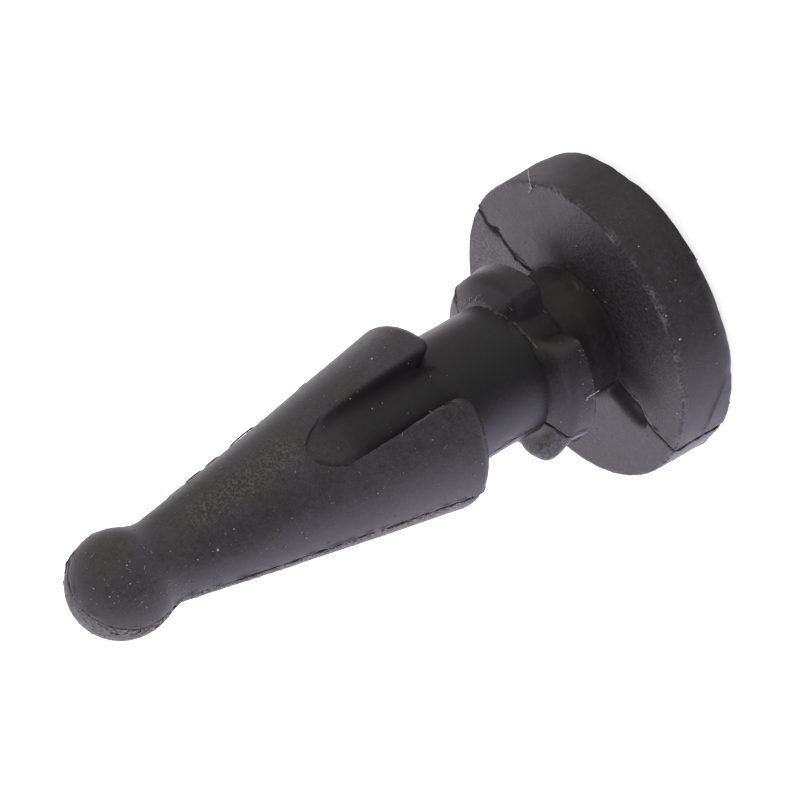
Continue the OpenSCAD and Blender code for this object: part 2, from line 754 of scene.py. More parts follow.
@dataclass
class Moulding(Piece):
    """The rivet: head, neck, notched collar, shank, fluted barb and ball tip, in one piece.

    The parting line of its two mould halves runs near the plane of X and Z, and the flutes
    and the collar's notches face -Y and +Y. Names of fields end in r for a radius, in z for a
    height above the back of the head, in h, w, t or l for a height, width, thickness or length,
    and in round, root or nose for a rounded edge or corner. What isn't listed is named so.

    Attributes:
        head_r: the head.
        length: height of the tip.
        head_fade: height over which marks of the head fade out above its face.
        flute_floor: distance of the flutes' floors from the axis.
        flute_end_z: the row of points that is bent to the ends of the flutes.
        end_bend: height on each side of that row over which the bend fades out.
        close_rows: heights between which the rows near the ends of the flutes lie closer.
        flute_ledge: least depth of a flute.
        flute_crown: how far a flute's floor is raised along its middle.
        gutter: depth of the gutter along the crisp wall.
        soft_corner: how far the barb's back edge bends forward beside a soft wall.
        crisp_corner: the same beside a crisp wall.
        corner_top: height above the barb's back at which the bend ends.
        corner_inside: how the bend fades out inside a flute.
        soft_edge: width over which the soft wall runs into the barb.
        soft_inside: how far inside the flute the soft wall ends.
        crisp_edge: radius on the crisp wall's edge.
        ramp_foot: place of the foot of the notch's ramp at the collar's back.
        ramp_w: width of the ramp at the collar's back.
        lean: how far the soft barb leans to one side.
        wall_draft: how far a flute's wall leans.
        columns: columns of points in each stretch from a parting line to the middle of a flute.
        seam_stops: angles from the parting line at which the first stretches start.
        wall_stop: angle before a flute's wall at which the last one before it starts.
        stray: how far the near parting line strays on the head, over the radius.
        ball_stray: how far the parting line strays on the ball.
    """

    head_r: float
    length: float
    name: str = "rivet_moulding"
    back_slope_h: float = 0.25
    back_slope_w: float = 0.4
    head_t: float = 2.25
    head_fade: float = 0.3
    front_round: float = 0.09
    neck_r: float = 2.15
    neck_root: float = 0.03
    collar_z: float = 4.0
    collar_r: float = 3.05
    collar_round: float = 0.06
    collar_front_r: float = 2.99
    collar_front_z: float = 4.95
    collar_nose: float = 0.42
    shank_z: float = 5.15
    shank_r: float = 2.15
    barb_z: float = 8.15
    barb_r: float = 3.125
    barb_round: float = 0.37
    barb_l: float = 10.1
    throat_r: float = 1.4
    ball_r: float = 1.7
    hollow_r: float = 1.5
    flute_w: float = 1.65
    flute_floor: float = 2.19
    flute_end_z: float = 13.25
    end_bend: float = 1.7
    close_rows: tuple[float, float] = (12.3, 14.2)
    flute_ledge: float = 0.05
    flute_crown: float = 0.05
    crown_run: float = 1.2
    floor_run: float = 1.4
    gutter: float = 0.05
    gutter_at: Ramp = Ramp(-0.55, -0.8)
    soft_corner: float = 0.58
    crisp_corner: float = 0.62
    corner_top: float = 2.6
    corner_run: float = 2.2
    corner_inside: Ramp = Ramp(-0.3, 0.0)
    soft_edge: float = 0.3
    soft_inside: float = 0.1
    crisp_edge: float = 0.06
    notch_floor_r: float = 2.19
    ramp_foot: float = -0.63
    ramp_shift: float = 0.3
    ramp_w: float = 0.6
    ramp_spread: float = 0.57
    notch_wall: Ramp = Ramp(1.06, 0.46)
    lean: float = 0.055
    lean_start: Ramp = Ramp(5.6, 9.0)
    lean_end: Ramp = Ramp(19.0, 14.5)
    wall_draft: float = 0.04
    near_seam: float = 0.0
    far_seam: float = 182.5
    columns: tuple[int, ...] = (16, 10, 26, 10, 1, 10)
    seam_stops: tuple[float, ...] = (0.0, 4.0, 10.0)
    wall_stop: float = 7.0
    stray: Course = Course(
        (2.35, 2.63, 2.98, 3.42, 4.0, 4.44, 4.65, 4.9),
        (-0.17, 0.04, 0.15, 0.09, 0.09, 0.27, 0.17, 0.1),
    )
    far_stray: Course = Course((2.7, 3.3, 3.7, 4.06, 4.55, 4.95), (0.14, 0.17, -0.07, -0.08, 0.01, 0.06))
    ball_stray: float = 0.28
    ball_start: Ramp = Ramp(18.6, 19.6)

    def __post_init__(self) -> None:
        """Works out the cone's slope, the middles of the arcs that it runs into and the columns."""
        self.taper = math.atan2(self.barb_r - self.throat_r, self.barb_l)
        self.out = np.array((math.cos(self.taper), math.sin(self.taper)))
        self.along = np.array((-math.sin(self.taper), math.cos(self.taper)))
        self.cone_reach = float(self.out @ (self.barb_r, self.barb_z))
        self.edge_z = self.barb_z + self.barb_round
        reach = self.cone_reach - self.barb_round - self.out[1] * self.edge_z
        self.edge_r = reach / self.out[0]
        self.ball = np.array((0.0, self.length - self.ball_r))
        beside = (self.cone_reach + self.hollow_r) * self.out - self.ball
        lead = float(beside @ self.along)
        spare = float(beside @ beside) - (self.hollow_r + self.ball_r) ** 2
        self.hollow = self.ball + beside - (lead + math.sqrt(lead * lead - spare)) * self.along
        self.quarter = sum(self.columns)
        self.wall_column = sum(self.columns[:4])
        self.floor_column = self.wall_column + self.columns[4]

    def cone_r(self, height: np.ndarray) -> np.ndarray:
        """Returns the cone's radius at each height."""
        return (self.cone_reach - self.out[1] * height) / self.out[0]

    def sag(self, height: np.ndarray) -> np.ndarray:
        """Returns how far the soft barb leans to one side at each height."""
        return self.lean * self.lean_start.at(height) * self.lean_end.at(height)

    def on_head(self, height: np.ndarray) -> np.ndarray:
        """Returns 1 at the heights of the head and 0 from a little above its face on."""
        return smooth_rise(self.head_t + self.head_fade, self.head_t, height)

    def on_face(self, at: Places, margin: float) -> np.ndarray:
        """Returns which points are on the head's face, further in from its edge than the margin."""
        return (np.abs(at.z - self.head_t) < 3 * HAIR) & (at.radius < self.head_r - margin)

    def stray_on_ball(self, height: np.ndarray) -> np.ndarray:
        """Returns how far the parting line strays at each height of the ball."""
        return self.ball_stray * self.ball_start.at(height)

    def seam_run(self, low: float, high: float, count: int) -> np.ndarray:
        """Follows the outside of the section between two heights, in even steps.

        Args:
            low: where to start.
            high: where to end.
            count: number of steps.

        Returns:
            Rows of radius, height, and the outward direction's radius and height.
        """
        least_r = 0.6
        rows = np.array(self.section())
        rows = rows[(rows[:, 1] >= low) & (rows[:, 1] <= high) & (rows[:, 0] > least_r)]
        length = np.concatenate(((0.0,), np.cumsum(np.linalg.norm(np.diff(rows, axis=0), axis=1))))
        even = np.linspace(0.0, length[-1], count + 1)
        line = np.column_stack([np.interp(even, length, rows[:, axis]) for axis in range(2)])
        along = np.gradient(line, axis=0)
        out = np.column_stack((along[:, 1], -along[:, 0]))
        return np.column_stack((line, out / np.linalg.norm(out, axis=1)[:, None]))

    def section(self) -> list[tuple[float, float]]:
        """Draws the half section, with rows close together where the form turns.

        Returns:
            Radius and height from the middle of the back to the tip.
        """
        path = Outline(0.0, 0.0)
        self._draw_head(path)
        self._draw_collar(path)
        self._draw_barb(path)
        self._draw_tail(path)
        path.rows[-1] = (0.0, self.length)
        return path.rows

    def _draw_head(self, path: Outline) -> None:
        """Draws the head and the neck.

        Args:
            path: the section, so far at the middle of the back.
        """
        face_z = self.head_t - self.front_round
        root = self.neck_root
        path.line(self.head_r - self.back_slope_w, 0.0, rows=5)
        path.line(self.head_r, self.back_slope_h, rows=8)
        path.line(self.head_r, face_z, rows=20)
        path.arc((self.head_r - self.front_round, face_z), self.front_round, (0.0, 90.0), rows=5)
        path.line(self.neck_r + root, self.head_t, rows=42)
        path.arc((self.neck_r + root, self.head_t + root), root, (-90.0, -180.0), rows=2)
        path.line(self.neck_r, self.collar_z - root, rows=10)

    def _draw_collar(self, path: Outline) -> None:
        """Draws the collar, with its rounded back edge and its nose.

        Args:
            path: the section, so far at the end of the neck.
        """
        root = self.neck_root
        rim = self.collar_r - self.collar_round
        nose_r = self.collar_front_r - self.collar_nose
        nose_z = self.collar_front_z - self.collar_nose
        path.arc((self.neck_r + root, self.collar_z - root), root, (180.0, 90.0), rows=2)
        path.line(rim, self.collar_z, rows=5)
        path.arc((rim, self.collar_z + self.collar_round), self.collar_round, (-90.0, 0.0), rows=4)
        path.line(self.collar_front_r, nose_z, rows=5)
        path.arc((nose_r, nose_z), self.collar_nose, (7.0, 70.0), rows=8)

    def _draw_barb(self, path: Outline) -> None:
        """Draws the shank, the barb's back edge and the cone up to the ends of the flutes.

        Args:
            path: the section, so far at the collar's nose.
        """
        path.line(self.shank_r, self.shank_z, rows=7)
        path.line(self.shank_r, self.barb_z, rows=24)
        path.line(self.edge_r, self.barb_z, rows=6)
        turn = (-90.0, math.degrees(self.taper))
        path.arc((self.edge_r, self.edge_z), self.barb_round, turn, rows=10)
        low, high = self.close_rows
        last_floor_z = self.flute_end_z - 2.5 * HAIR
        for height, rows in ((low, 36), (last_floor_z, 14), (self.flute_end_z, 1), (high, 12)):
            path.line(float(self.cone_r(height)), height, rows)

    def _draw_tail(self, path: Outline) -> None:
        """Draws the rest of the cone, the hollow and the ball.

        Args:
            path: the section, so far on the cone.
        """
        foot = self.hollow - self.hollow_r * self.out
        inward = self.ball - self.hollow
        neck_angle = math.degrees(math.atan2(inward[1], inward[0]))
        path.line(foot[0], foot[1], rows=44)
        turn = (180.0 + math.degrees(self.taper), neck_angle)
        path.arc(self.hollow, self.hollow_r, turn, rows=14)
        path.arc(self.ball, self.ball_r, (neck_angle - 180.0, 90.0), rows=30)

    def spin_section(self) -> bpy.types.Object:
        """Spins the section once round the axis.

        Returns:
            The turned shape, in object mode.
        """
        rows = [(radius, 0.0, height) for radius, height in self.section()]
        thing = self.start_at(rows[0])
        self.pull_through(rows[1:], rows[0])
        bpy.ops.mesh.select_all(action="SELECT")
        bpy.ops.mesh.spin(
            steps=4 * self.quarter, angle=2.0 * math.pi, center=(0.0, 0.0, 0.0), axis=(0.0, 0.0, 1.0)
        )
        self.close_mesh(0.05 * HAIR)
        bpy.ops.object.mode_set(mode="OBJECT")
        return thing

    def shape_flutes(self, thing: bpy.types.Object) -> None:
        """Gathers the columns at the parting line and at the walls, then sinks flutes and notches.

        Args:
            thing: the turned shape.
        """
        spots = self.spots(thing)
        radius = np.hypot(spots[:, 0], spots[:, 1])
        turn = np.mod(np.arctan2(spots[:, 1], spots[:, 0]), 2.0 * math.pi)
        column = np.rint(turn / (2.0 * math.pi) * 4 * self.quarter).astype(int) % (4 * self.quarter)
        side, step = np.divmod(column, self.quarter)
        from_seam = np.where(side % 2 == 0, step, self.quarter - step)
        on_cone = spots[:, 2] > self.edge_z
        floor_row = on_cone & (spots[:, 2] < self.flute_end_z - HAIR)
        radius, height = self.bend_end_row(radius, spots[:, 2], from_seam)
        azimuth = self.azimuths(radius, side, from_seam)
        x = radius * np.cos(azimuth)
        y = radius * np.sin(azimuth)
        forward = self.corner_bend(x, y, radius, height)
        narrower = np.where(on_cone, self.cone_r(height + forward) / self.cone_r(height), 1.0)
        height = height + forward
        x *= narrower
        y *= narrower
        sink = self.flute_sink(x, y, height, floor_row, from_seam >= self.floor_column)
        y = np.sign(y) * (np.abs(y) - sink)
        shrink = self.notch(x, y, height) / np.maximum(np.hypot(x, y), HAIR)
        x *= shrink
        y *= shrink
        self.move_to(thing, np.column_stack((x, y, height)))
        bpy.ops.object.mode_set(mode="EDIT")
        self.close_mesh(0.08 * HAIR)
        bpy.ops.object.mode_set(mode="OBJECT")

    def bend_end_row(
        self, radius: np.ndarray, height: np.ndarray, from_seam: np.ndarray
    ) -> tuple[np.ndarray, np.ndarray]:
        """Bends one row of the cone to the curve where the flat floor of a flute runs out.

        Args:
            radius: radius of each point.
            height: height of each point.
            from_seam: columns from each point to its parting line.

        Returns:
            The new radii and the new heights.
        """
        wall = self.wall_column
        share = np.clip((from_seam - self.floor_column) / (self.quarter - self.floor_column), 0.0, 1.0)
        across = 0.5 * self.flute_w * (1.0 - share)
        end_r = np.hypot(self.flute_floor, across)
        end_z = (self.cone_reach - self.out[0] * end_r) / self.out[1]
        near = smooth_rise(wall - 12, wall, from_seam)
        near *= np.clip(1.0 - np.abs(height - self.flute_end_z) / self.end_bend, 0.0, 1.0)
        on_cone = height > self.edge_z
        height = np.where(on_cone, height + (end_z - self.flute_end_z) * near, height)
        return np.where(on_cone & (near > 0.0), self.cone_r(height), radius), height

    def azimuths(self, radius: np.ndarray, side: np.ndarray, from_seam: np.ndarray) -> np.ndarray:
        """Spreads the columns between the parting lines and the middles of the flutes.

        Args:
            radius: radius of each point.
            side: quarter of the turn that each point is in.
            from_seam: columns from each point to its parting line.

        Returns:
            The azimuth of each point, in radians.
        """
        seam = np.array((self.near_seam, self.far_seam, self.far_seam, self.near_seam + 360.0))[side]
        middle = np.array((90.0, 90.0, 270.0, 270.0))[side]
        span = np.abs(middle - seam)
        held_r = np.clip(radius, self.flute_floor + 5 * HAIR, self.collar_r + 10 * HAIR)
        wall = span - np.degrees(np.arcsin(0.5 * self.flute_w / held_r))
        draft = np.degrees(self.wall_draft / held_r)
        stops = [np.full_like(span, stop) for stop in self.seam_stops]
        stops += [wall - self.wall_stop, wall, wall + draft, span]
        angle = np.zeros_like(span)
        first = 0
        for count, low, high in zip(self.columns, stops[:-1], stops[1:]):
            here = (from_seam >= first) & (from_seam <= first + count)
            angle = np.where(here, low + (high - low) * (from_seam - first) / count, angle)
            first += count
        return np.radians(seam + np.sign(middle - seam) * angle)

    def corner_bend(
        self, x: np.ndarray, y: np.ndarray, radius: np.ndarray, height: np.ndarray
    ) -> np.ndarray:
        """Bends the barb's back edge forward, round the corners beside the flutes.

        Args:
            x: place across the flutes.
            y: place along the flutes' depth.
            radius: distance from the axis.
            height: place along the axis.

        Returns:
            How far each point moves along the axis.
        """
        beside = np.abs(x) - 0.5 * self.flute_w
        bend = np.where(x > 0.0, self.soft_corner, self.crisp_corner)
        to_wall = np.clip(1.0 - beside / bend, 0.0, 1.0)
        forward = bend * (1.0 - np.sqrt(1.0 - to_wall**2)) * self.corner_inside.at(beside)
        fade = np.clip((self.barb_z + self.corner_top - height) / self.corner_run, 0.0, 1.0)
        forward *= fade * (np.abs(y) > 1.0)
        return forward * ((height > self.barb_z - HAIR) & (radius > self.shank_r + 0.5 * HAIR))

    def flute_sink(
        self,
        x: np.ndarray,
        y: np.ndarray,
        height: np.ndarray,
        floor_row: np.ndarray,
        inside: np.ndarray,
    ) -> np.ndarray:
        """Sinks the flutes: one wall runs softly into the floor, the other has a crisp edge.

        Args:
            x: place across the flutes.
            y: place along the flutes' depth.
            height: place along the axis.
            floor_row: which points are in the rows of the floor.
            inside: which points are in the columns of the floor.

        Returns:
            How far each point sinks.
        """
        shank_y = np.sqrt(np.maximum(self.shank_r**2 - x**2, 0.0))
        from_shank = smooth_rise(self.barb_z + self.floor_run, self.barb_z, height)
        from_shank *= np.abs(x) < 0.6 * self.flute_w
        floor_y = self.flute_floor + from_shank * (shank_y - self.flute_floor)
        depth = np.where(height > self.barb_z - HAIR, np.abs(y) - floor_y, 0.0)
        crown = self.flute_crown * (1.0 - (2.0 * x / self.flute_w) ** 2)
        crown *= smooth_rise(self.barb_z, self.barb_z + self.crown_run, height)
        raised = crown - self.gutter * self.gutter_at.at(x)
        floor = np.maximum(depth - np.where(floor_row, raised, 0.0), 0.0)
        floor = np.where(floor_row, np.maximum(floor, self.flute_ledge), floor)
        beside = np.abs(x) - 0.5 * self.flute_w
        open_depth = np.maximum(depth, 0.0)
        soft = smooth_rise(self.soft_edge, -self.soft_inside, beside) * np.where(inside, floor, open_depth)
        bend = np.clip(self.crisp_edge - beside, 0.0, self.crisp_edge)
        drop = self.crisp_edge - np.sqrt(np.maximum(self.crisp_edge**2 - bend**2, 0.0))
        drop = np.minimum(drop, 0.6 * open_depth)
        crisp = np.where(inside, floor, np.where(beside < self.crisp_edge, drop, 0.0))
        return np.where(depth > -2 * HAIR, np.where(x > 0.0, soft, crisp), 0.0)

    def notch(self, x: np.ndarray, y: np.ndarray, height: np.ndarray) -> np.ndarray:
        """Works out the collar's notches: one steep wall, and a ramp that is longer at the front.

        Args:
            x: place across the notch.
            y: place along the notch's depth.
            height: place along the axis.

        Returns:
            The new radius of each point.
        """
        radius = np.hypot(x, y)
        collar = (height > self.collar_z - 2 * HAIR) & (height < self.shank_z + HAIR)
        forward = np.clip((height - self.collar_z) / (self.collar_front_z - self.collar_z), 0.0, 1.0)
        ramp_w = self.ramp_w + self.ramp_spread * forward
        up_ramp = np.clip((self.ramp_shift * forward + self.ramp_foot - x) / ramp_w, 0.0, 1.0)
        ramp = 0.5 * (1.0 - up_ramp) + 0.5 * smooth_rise(1.0, 0.0, up_ramp)
        share = np.where(x > 0.0, self.notch_wall.at(x), ramp)
        share = np.where(np.abs(y) > 0.5 * self.shank_r, share, 0.0)
        floor = self.neck_r + HAIR + (self.notch_floor_r - self.neck_r) * forward
        return np.where(collar & (radius > floor), radius - share * (radius - floor), radius)

    def beside_seam(self, at: Places) -> np.ndarray:
        """Measures from the parting line, along the surface.

        Args:
            at: the points.

        Returns:
            A distance for each point, above 0 on the half that faces +Y.
        """
        turn = np.arctan2(at.y, at.x)
        on_head = at.z < self.head_t + 2 * HAIR
        near = at.radius * np.sin(turn - math.radians(self.near_seam))
        near -= self.stray.at(at.radius) * on_head
        far = -at.radius * np.sin(turn - math.radians(self.far_seam))
        far += self.far_stray.at(at.radius) * on_head
        return np.where(at.x > 0.0, near, far) + self.stray_on_ball(at.z)

    def build(self, rubber: bpy.types.Material) -> bpy.types.Object:
        """Models and dresses the moulding.

        Args:
            rubber: the finish.

        Returns:
            The finished object.
        """
        thing = self.spin_section()
        self.shape_flutes(thing)
        at = Places(self.spots(thing))
        relief = Relief(self, at)
        self.move_to(thing, relief.moved(self.facing(thing)))
        for kind, amounts in Skin(self, relief, at).marks().items():
            self.write_mark(thing, kind, amounts)
        self.hand_over(thing, rubber)
        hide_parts(NODE)
        return thing


@dataclass
class Relief:
    """Unevenness of the moulding: its parting line, tears, broken and worn edges and a lump.

    Names that end in h are heights or depths.

    Attributes:
        shape: the moulding's sizes.
        at: the moulding's points before they are moved.
    """

    shape: Moulding
    at: Places
    # Soft rubber
    waves: Grain = Grain(2.3, 1, 0.014)
    ripples: Grain = Grain(0.7, 2, 0.006)
    # How the parting line wanders, and where that starts
    wander: Grain = Grain(0.9, 3, 0.05)
    fine_wander: Grain = Grain(0.24, 4, 0.05)
    wander_start: Ramp = Ramp(0.5, 2.0)
    far_calm: float = 0.6
    # Groove along the parting line, and how much less of it there is on the head and on the barb
    seam_start: Ramp = Ramp(0.3, 0.6)
    groove_w: float = 0.062
    groove_w_lumps: Grain = Grain(0.3, 5, 0.035)
    groove_w_grit: Grain = Grain(0.12, 15, 0.35)
    head_wider: float = 0.5
    groove_h: float = 0.095
    groove_h_lumps: Grain = Grain(0.36, 6, 0.05)
    head_shallow: float = 0.75
    far_shallow: float = 0.8
    # Broken lip beside the groove
    lip: Bell = Bell(-0.13, 0.06)
    lip_lumps: Grain = Grain(0.27, 7)
    lip_breaks: Ramp = Ramp(0.0, 0.6)
    lip_h: float = 0.04
    # Step from one mould half to the other
    step: Ramp = Ramp(-0.02, 0.05)
    step_h: float = 0.03
    # Strip of crumbs beyond the parting line of the barb
    strip_start: Ramp = Ramp(0.02, 0.12)
    strip_end: Ramp = Ramp(0.9, 0.5)
    crumb_lumps: Grain = Grain(0.11, 13)
    crumb_h: float = 0.022
    # Lump on the collar beyond the far parting line, and the hollow behind it
    lump_h: float = 0.35
    lump_r: float = 2.6
    lump_start: Ramp = Ramp(-0.2, 1.3)
    lump_end: Ramp = Ramp(2.35, 1.3)
    lump_back: float = 0.5
    lump_front: float = 0.1
    lump_least: float = 0.6
    lump_tilt: float = 0.6
    lump_undercut: float = 0.12
    lump_grit: Grain = Grain(0.22, 18, 0.025)
    # Wedge torn out of the head's face: its edges over x, its walls and its depth
    wedge_outer: Course = Course((-3.8, -3.7, -3.5, -3.3, -2.9, -2.2), (0.24, 0.36, 0.54, 0.6, 0.68, 0.7))
    wedge_inner: Course = Course(
        (-3.8, -3.7, -3.5, -3.3, -2.9, -2.2), (0.12, -0.03, -0.18, -0.31, -0.28, -0.26)
    )
    wedge_lumps: Grain = Grain(0.2, 14, 0.06)
    inner_wall: Ramp = Ramp(-0.04, 0.06)
    outer_wall: Ramp = Ramp(0.06, -0.36)
    wedge_tip: Ramp = Ramp(-3.88, -3.74)
    wedge_h: float = 0.06
    # Pit beside the near parting line
    pit_r: float = 4.05
    pit_l: float = 0.3
    pit_w: float = 0.25
    pit_h: float = 0.05
    # Broken back edge of the head
    near_back: Ramp = Ramp(0.55, 0.25)
    near_rim: Ramp = Ramp(4.2, 4.7)
    back_lumps: Grain = Grain(1.1, 9, 0.02)
    back_grit: Grain = Grain(0.3, 10, 0.022)
    chip_lumps: Grain = Grain(0.5, 11)
    chip_breaks: Ramp = Ramp(0.5, 0.7)
    chip_h: float = 0.035
    # Facet on that edge and bulge of the rim, both over the azimuth
    facet: Course = Course(
        (-195.0, -165.0, -150.0, -135.0, -112.0, -92.0), (0.0, 0.05, 0.26, 0.42, 0.28, 0.0)
    )
    facet_z: float = 0.62
    bulge: Course = Course((-95.0, -78.0, -68.0, -45.0, -20.0, 10.0), (0.0, 0.08, 0.02, 0.085, 0.03, 0.0))
    bulge_back: Ramp = Ramp(1.5, 0.3)
    # Worn edges: their unevenness, how wide the wear is and how strong
    edge_h: float = 0.02
    edge_lumps: Grain = Grain(0.16, 8)
    head_edge: Bell = Bell(0.0, 0.12)
    collar_edge: Bell = Bell(0.0, 0.09)
    barb_edge: Bell = Bell(0.0, 0.2)
    flute_edge_w: float = 0.06
    flute_edge_end: Ramp = Ramp(13.6, 12.8)
    collar_worn: float = 0.75
    root_worn: float = 0.7
    barb_worn: float = 0.5
    flute_worn: float = 0.6
    far_root: float = 0.3

    def __post_init__(self) -> None:
        """Finds the parting line and the tears."""
        self.away = self.from_seam()
        self.wedge, self.pit = self.tears()

    def from_seam(self) -> np.ndarray:
        """Measures from the parting line, which wanders on its way.

        Returns:
            A distance for each point, above 0 on the half that faces +Y.
        """
        at = self.at
        wander = self.wander.at(at.flat) + self.fine_wander.at(at.flat)
        wander *= 1.0 - self.far_calm * self.shape.on_head(at.z) * (at.x < 0.0)
        return self.shape.beside_seam(at) - wander * self.wander_start.at(at.radius)

    def seam_lift(self) -> np.ndarray:
        """Works out the parting line: a groove with a broken lip, and a step between the halves.

        Returns:
            How far each point is lifted.
        """
        at = self.at
        on_head = self.shape.on_head(at.z)
        far_barb = (at.x < 0.0) * (at.z > self.shape.barb_z)
        width = (self.groove_w + self.groove_w_lumps.at(at.flat)) * (1.0 + self.head_wider * on_head)
        width *= 1.0 + self.groove_w_grit.at(at.flat)
        groove = hump(0.0, 1.0, self.away / width) * (self.groove_h + self.groove_h_lumps.at(at.flat))
        groove *= 1.0 - self.head_shallow * on_head - self.far_shallow * far_barb
        lip = self.lip.at(self.away) * self.lip_breaks.at(self.lip_lumps.at(at.flat))
        lift = self.lip_h * lip - groove - self.step_h * self.step.at(self.away)
        return self.seam_start.at(at.radius) * lift

    def collar_lump(self, facing: np.ndarray) -> np.ndarray:
        """Works out the lump on the collar, beyond the far parting line.

        Args:
            facing: outward direction at each point.

        Returns:
            How far each point is lifted.
        """
        at = self.at
        shape = self.shape
        on_collar = smooth_rise(shape.shank_r + 5 * HAIR, self.lump_r, at.radius) * (at.x < 0.0)
        on_collar *= (at.z < shape.shank_z) & (at.z > shape.collar_z - HAIR)
        on_collar *= self.lump_start.at(self.away) * self.lump_end.at(self.away)
        full_z = shape.collar_front_z - self.lump_front
        forward = smooth_rise(shape.collar_z + self.lump_back, full_z, at.z)
        tilt = self.lump_least + self.lump_tilt * np.clip(facing[:, 2], 0.0, 1.0)
        sunk = self.lump_undercut * (1.0 - forward)
        return on_collar * (self.lump_h * forward * tilt - sunk + self.lump_grit.at(at.spots))

    def moved(self, facing: np.ndarray) -> np.ndarray:
        """Moves the points along the directions that they face.

        Args:
            facing: outward direction at each point.

        Returns:
            The new places, as rows of x, y and z.
        """
        at = self.at
        strip = self.strip_start.at(self.away) * self.strip_end.at(self.away)
        crumbs = self.crumb_h * (strip * (at.z > self.shape.barb_z)) * self.crumb_lumps.at(at.spots)
        lift = self.waves.at(at.spots) + self.ripples.at(at.spots) + crumbs + self.seam_lift()
        lift += self.edge_h * self.edges() * self.edge_lumps.at(at.spots)
        lift += self.collar_lump(facing)
        lift = lift - self.wedge_h * self.wedge - self.pit_h * self.pit
        moved = self.break_back_edge(at.spots + facing * lift[:, None])
        moved[:, 0] -= self.shape.sag(at.z)
        moved[:, 2] = np.maximum(moved[:, 2], 0.0)
        return moved

    def tears(self) -> tuple[np.ndarray, np.ndarray]:
        """Finds the wedge torn out of the head's face at the far seam, and the pit at the near one.

        Returns:
            For the wedge and for the pit, a number for each point that is 1 where it is deepest.
        """
        at = self.at
        on_face = self.shape.on_face(at, 10 * HAIR)
        past_inner = at.y + self.wedge_lumps.at(at.spots) - self.wedge_inner.at(at.x)
        past_outer = at.y - self.wedge_outer.at(at.x)
        wedge = self.inner_wall.at(past_inner) * self.outer_wall.at(past_outer)
        wedge *= self.wedge_tip.at(at.x) * (at.x < 0.0)
        off_pit = np.hypot((at.radius - self.pit_r) / self.pit_l, self.away / self.pit_w)
        pit = hump(0.0, 1.0, off_pit) * (at.x > 0.0)
        return on_face * wedge, on_face * pit

    def break_back_edge(self, spots: np.ndarray) -> np.ndarray:
        """Makes the head's back edge uneven, with a flat facet on it beside the far seam.

        Args:
            spots: rows of x, y and z.

        Returns:
            The moved rows.
        """
        head_r = self.shape.head_r
        radius = np.hypot(spots[:, 0], spots[:, 1])
        turn = np.arctan2(spots[:, 1], spots[:, 0])
        azimuth = np.degrees(turn)
        height = spots[:, 2]
        ring = np.column_stack((np.cos(turn), np.sin(turn), 0.0 * turn)) * head_r
        ragged = self.back_lumps.at(ring) + self.back_grit.at(ring)
        chips = self.chip_h * self.chip_breaks.at(self.chip_lumps.at(ring))
        slope = self.facet.at(np.where(azimuth > 90.0, azimuth - 360.0, azimuth))
        facet_r = head_r - slope * np.clip(self.facet_z - height, 0.0, self.facet_z) ** 2 / self.facet_z
        bulge = self.bulge.at(azimuth)
        bulge *= self.bulge_back.at(height) * (height < self.shape.head_t) * self.near_rim.at(radius)
        low = (height < self.facet_z) & (radius > head_r - self.shape.back_slope_w - 2 * HAIR)
        goal = np.where(low, np.minimum(radius, facet_r), radius)
        near_edge = self.near_back.at(height) * self.near_rim.at(radius)
        goal = goal + bulge + near_edge * (ragged - chips)
        out = spots.copy()
        out[:, :2] *= (goal / np.maximum(radius, 10 * HAIR))[:, None]
        return out

    def edges(self) -> np.ndarray:
        """Finds the edges that rub against other things.

        Returns:
            A number for each point, 1 on an edge and 0 away from it.
        """
        at = self.at
        shape = self.shape
        head = self.head_edge.at(at.off(shape.head_r - 5 * HAIR, shape.head_t - 5 * HAIR))
        collar = self.collar_edge.at(at.off(shape.collar_r - 3 * HAIR, shape.collar_z + 4 * HAIR))
        root = self.collar_edge.at(at.off(shape.shank_r, shape.shank_z) + self.far_root * (at.x < 0.0))
        barb = self.barb_edge.at(at.off(shape.edge_r + 30 * HAIR, shape.barb_z + 10 * HAIR))
        flute = hump(-0.5 * shape.flute_w, self.flute_edge_w, at.x)
        flute = flute * (np.abs(at.y) > shape.flute_floor + 2 * HAIR) * (at.z > shape.barb_z)
        found = [head, self.collar_worn * collar, self.root_worn * root, self.barb_worn * barb]
        found.append(self.flute_worn * flute * self.flute_edge_end.at(at.z))
        return np.maximum.reduce(found)


@dataclass(frozen=True)
class Span:
    """1 between two ends and 0 outside them.

    Attributes:
        low: the lower end.
        high: the upper end.
    """

    low: float = -math.inf
    high: float = math.inf

    def at(self, amount: np.ndarray) -> np.ndarray:
        """Returns for each amount whether it lies between the ends."""
        return (amount > self.low) & (amount < self.high)


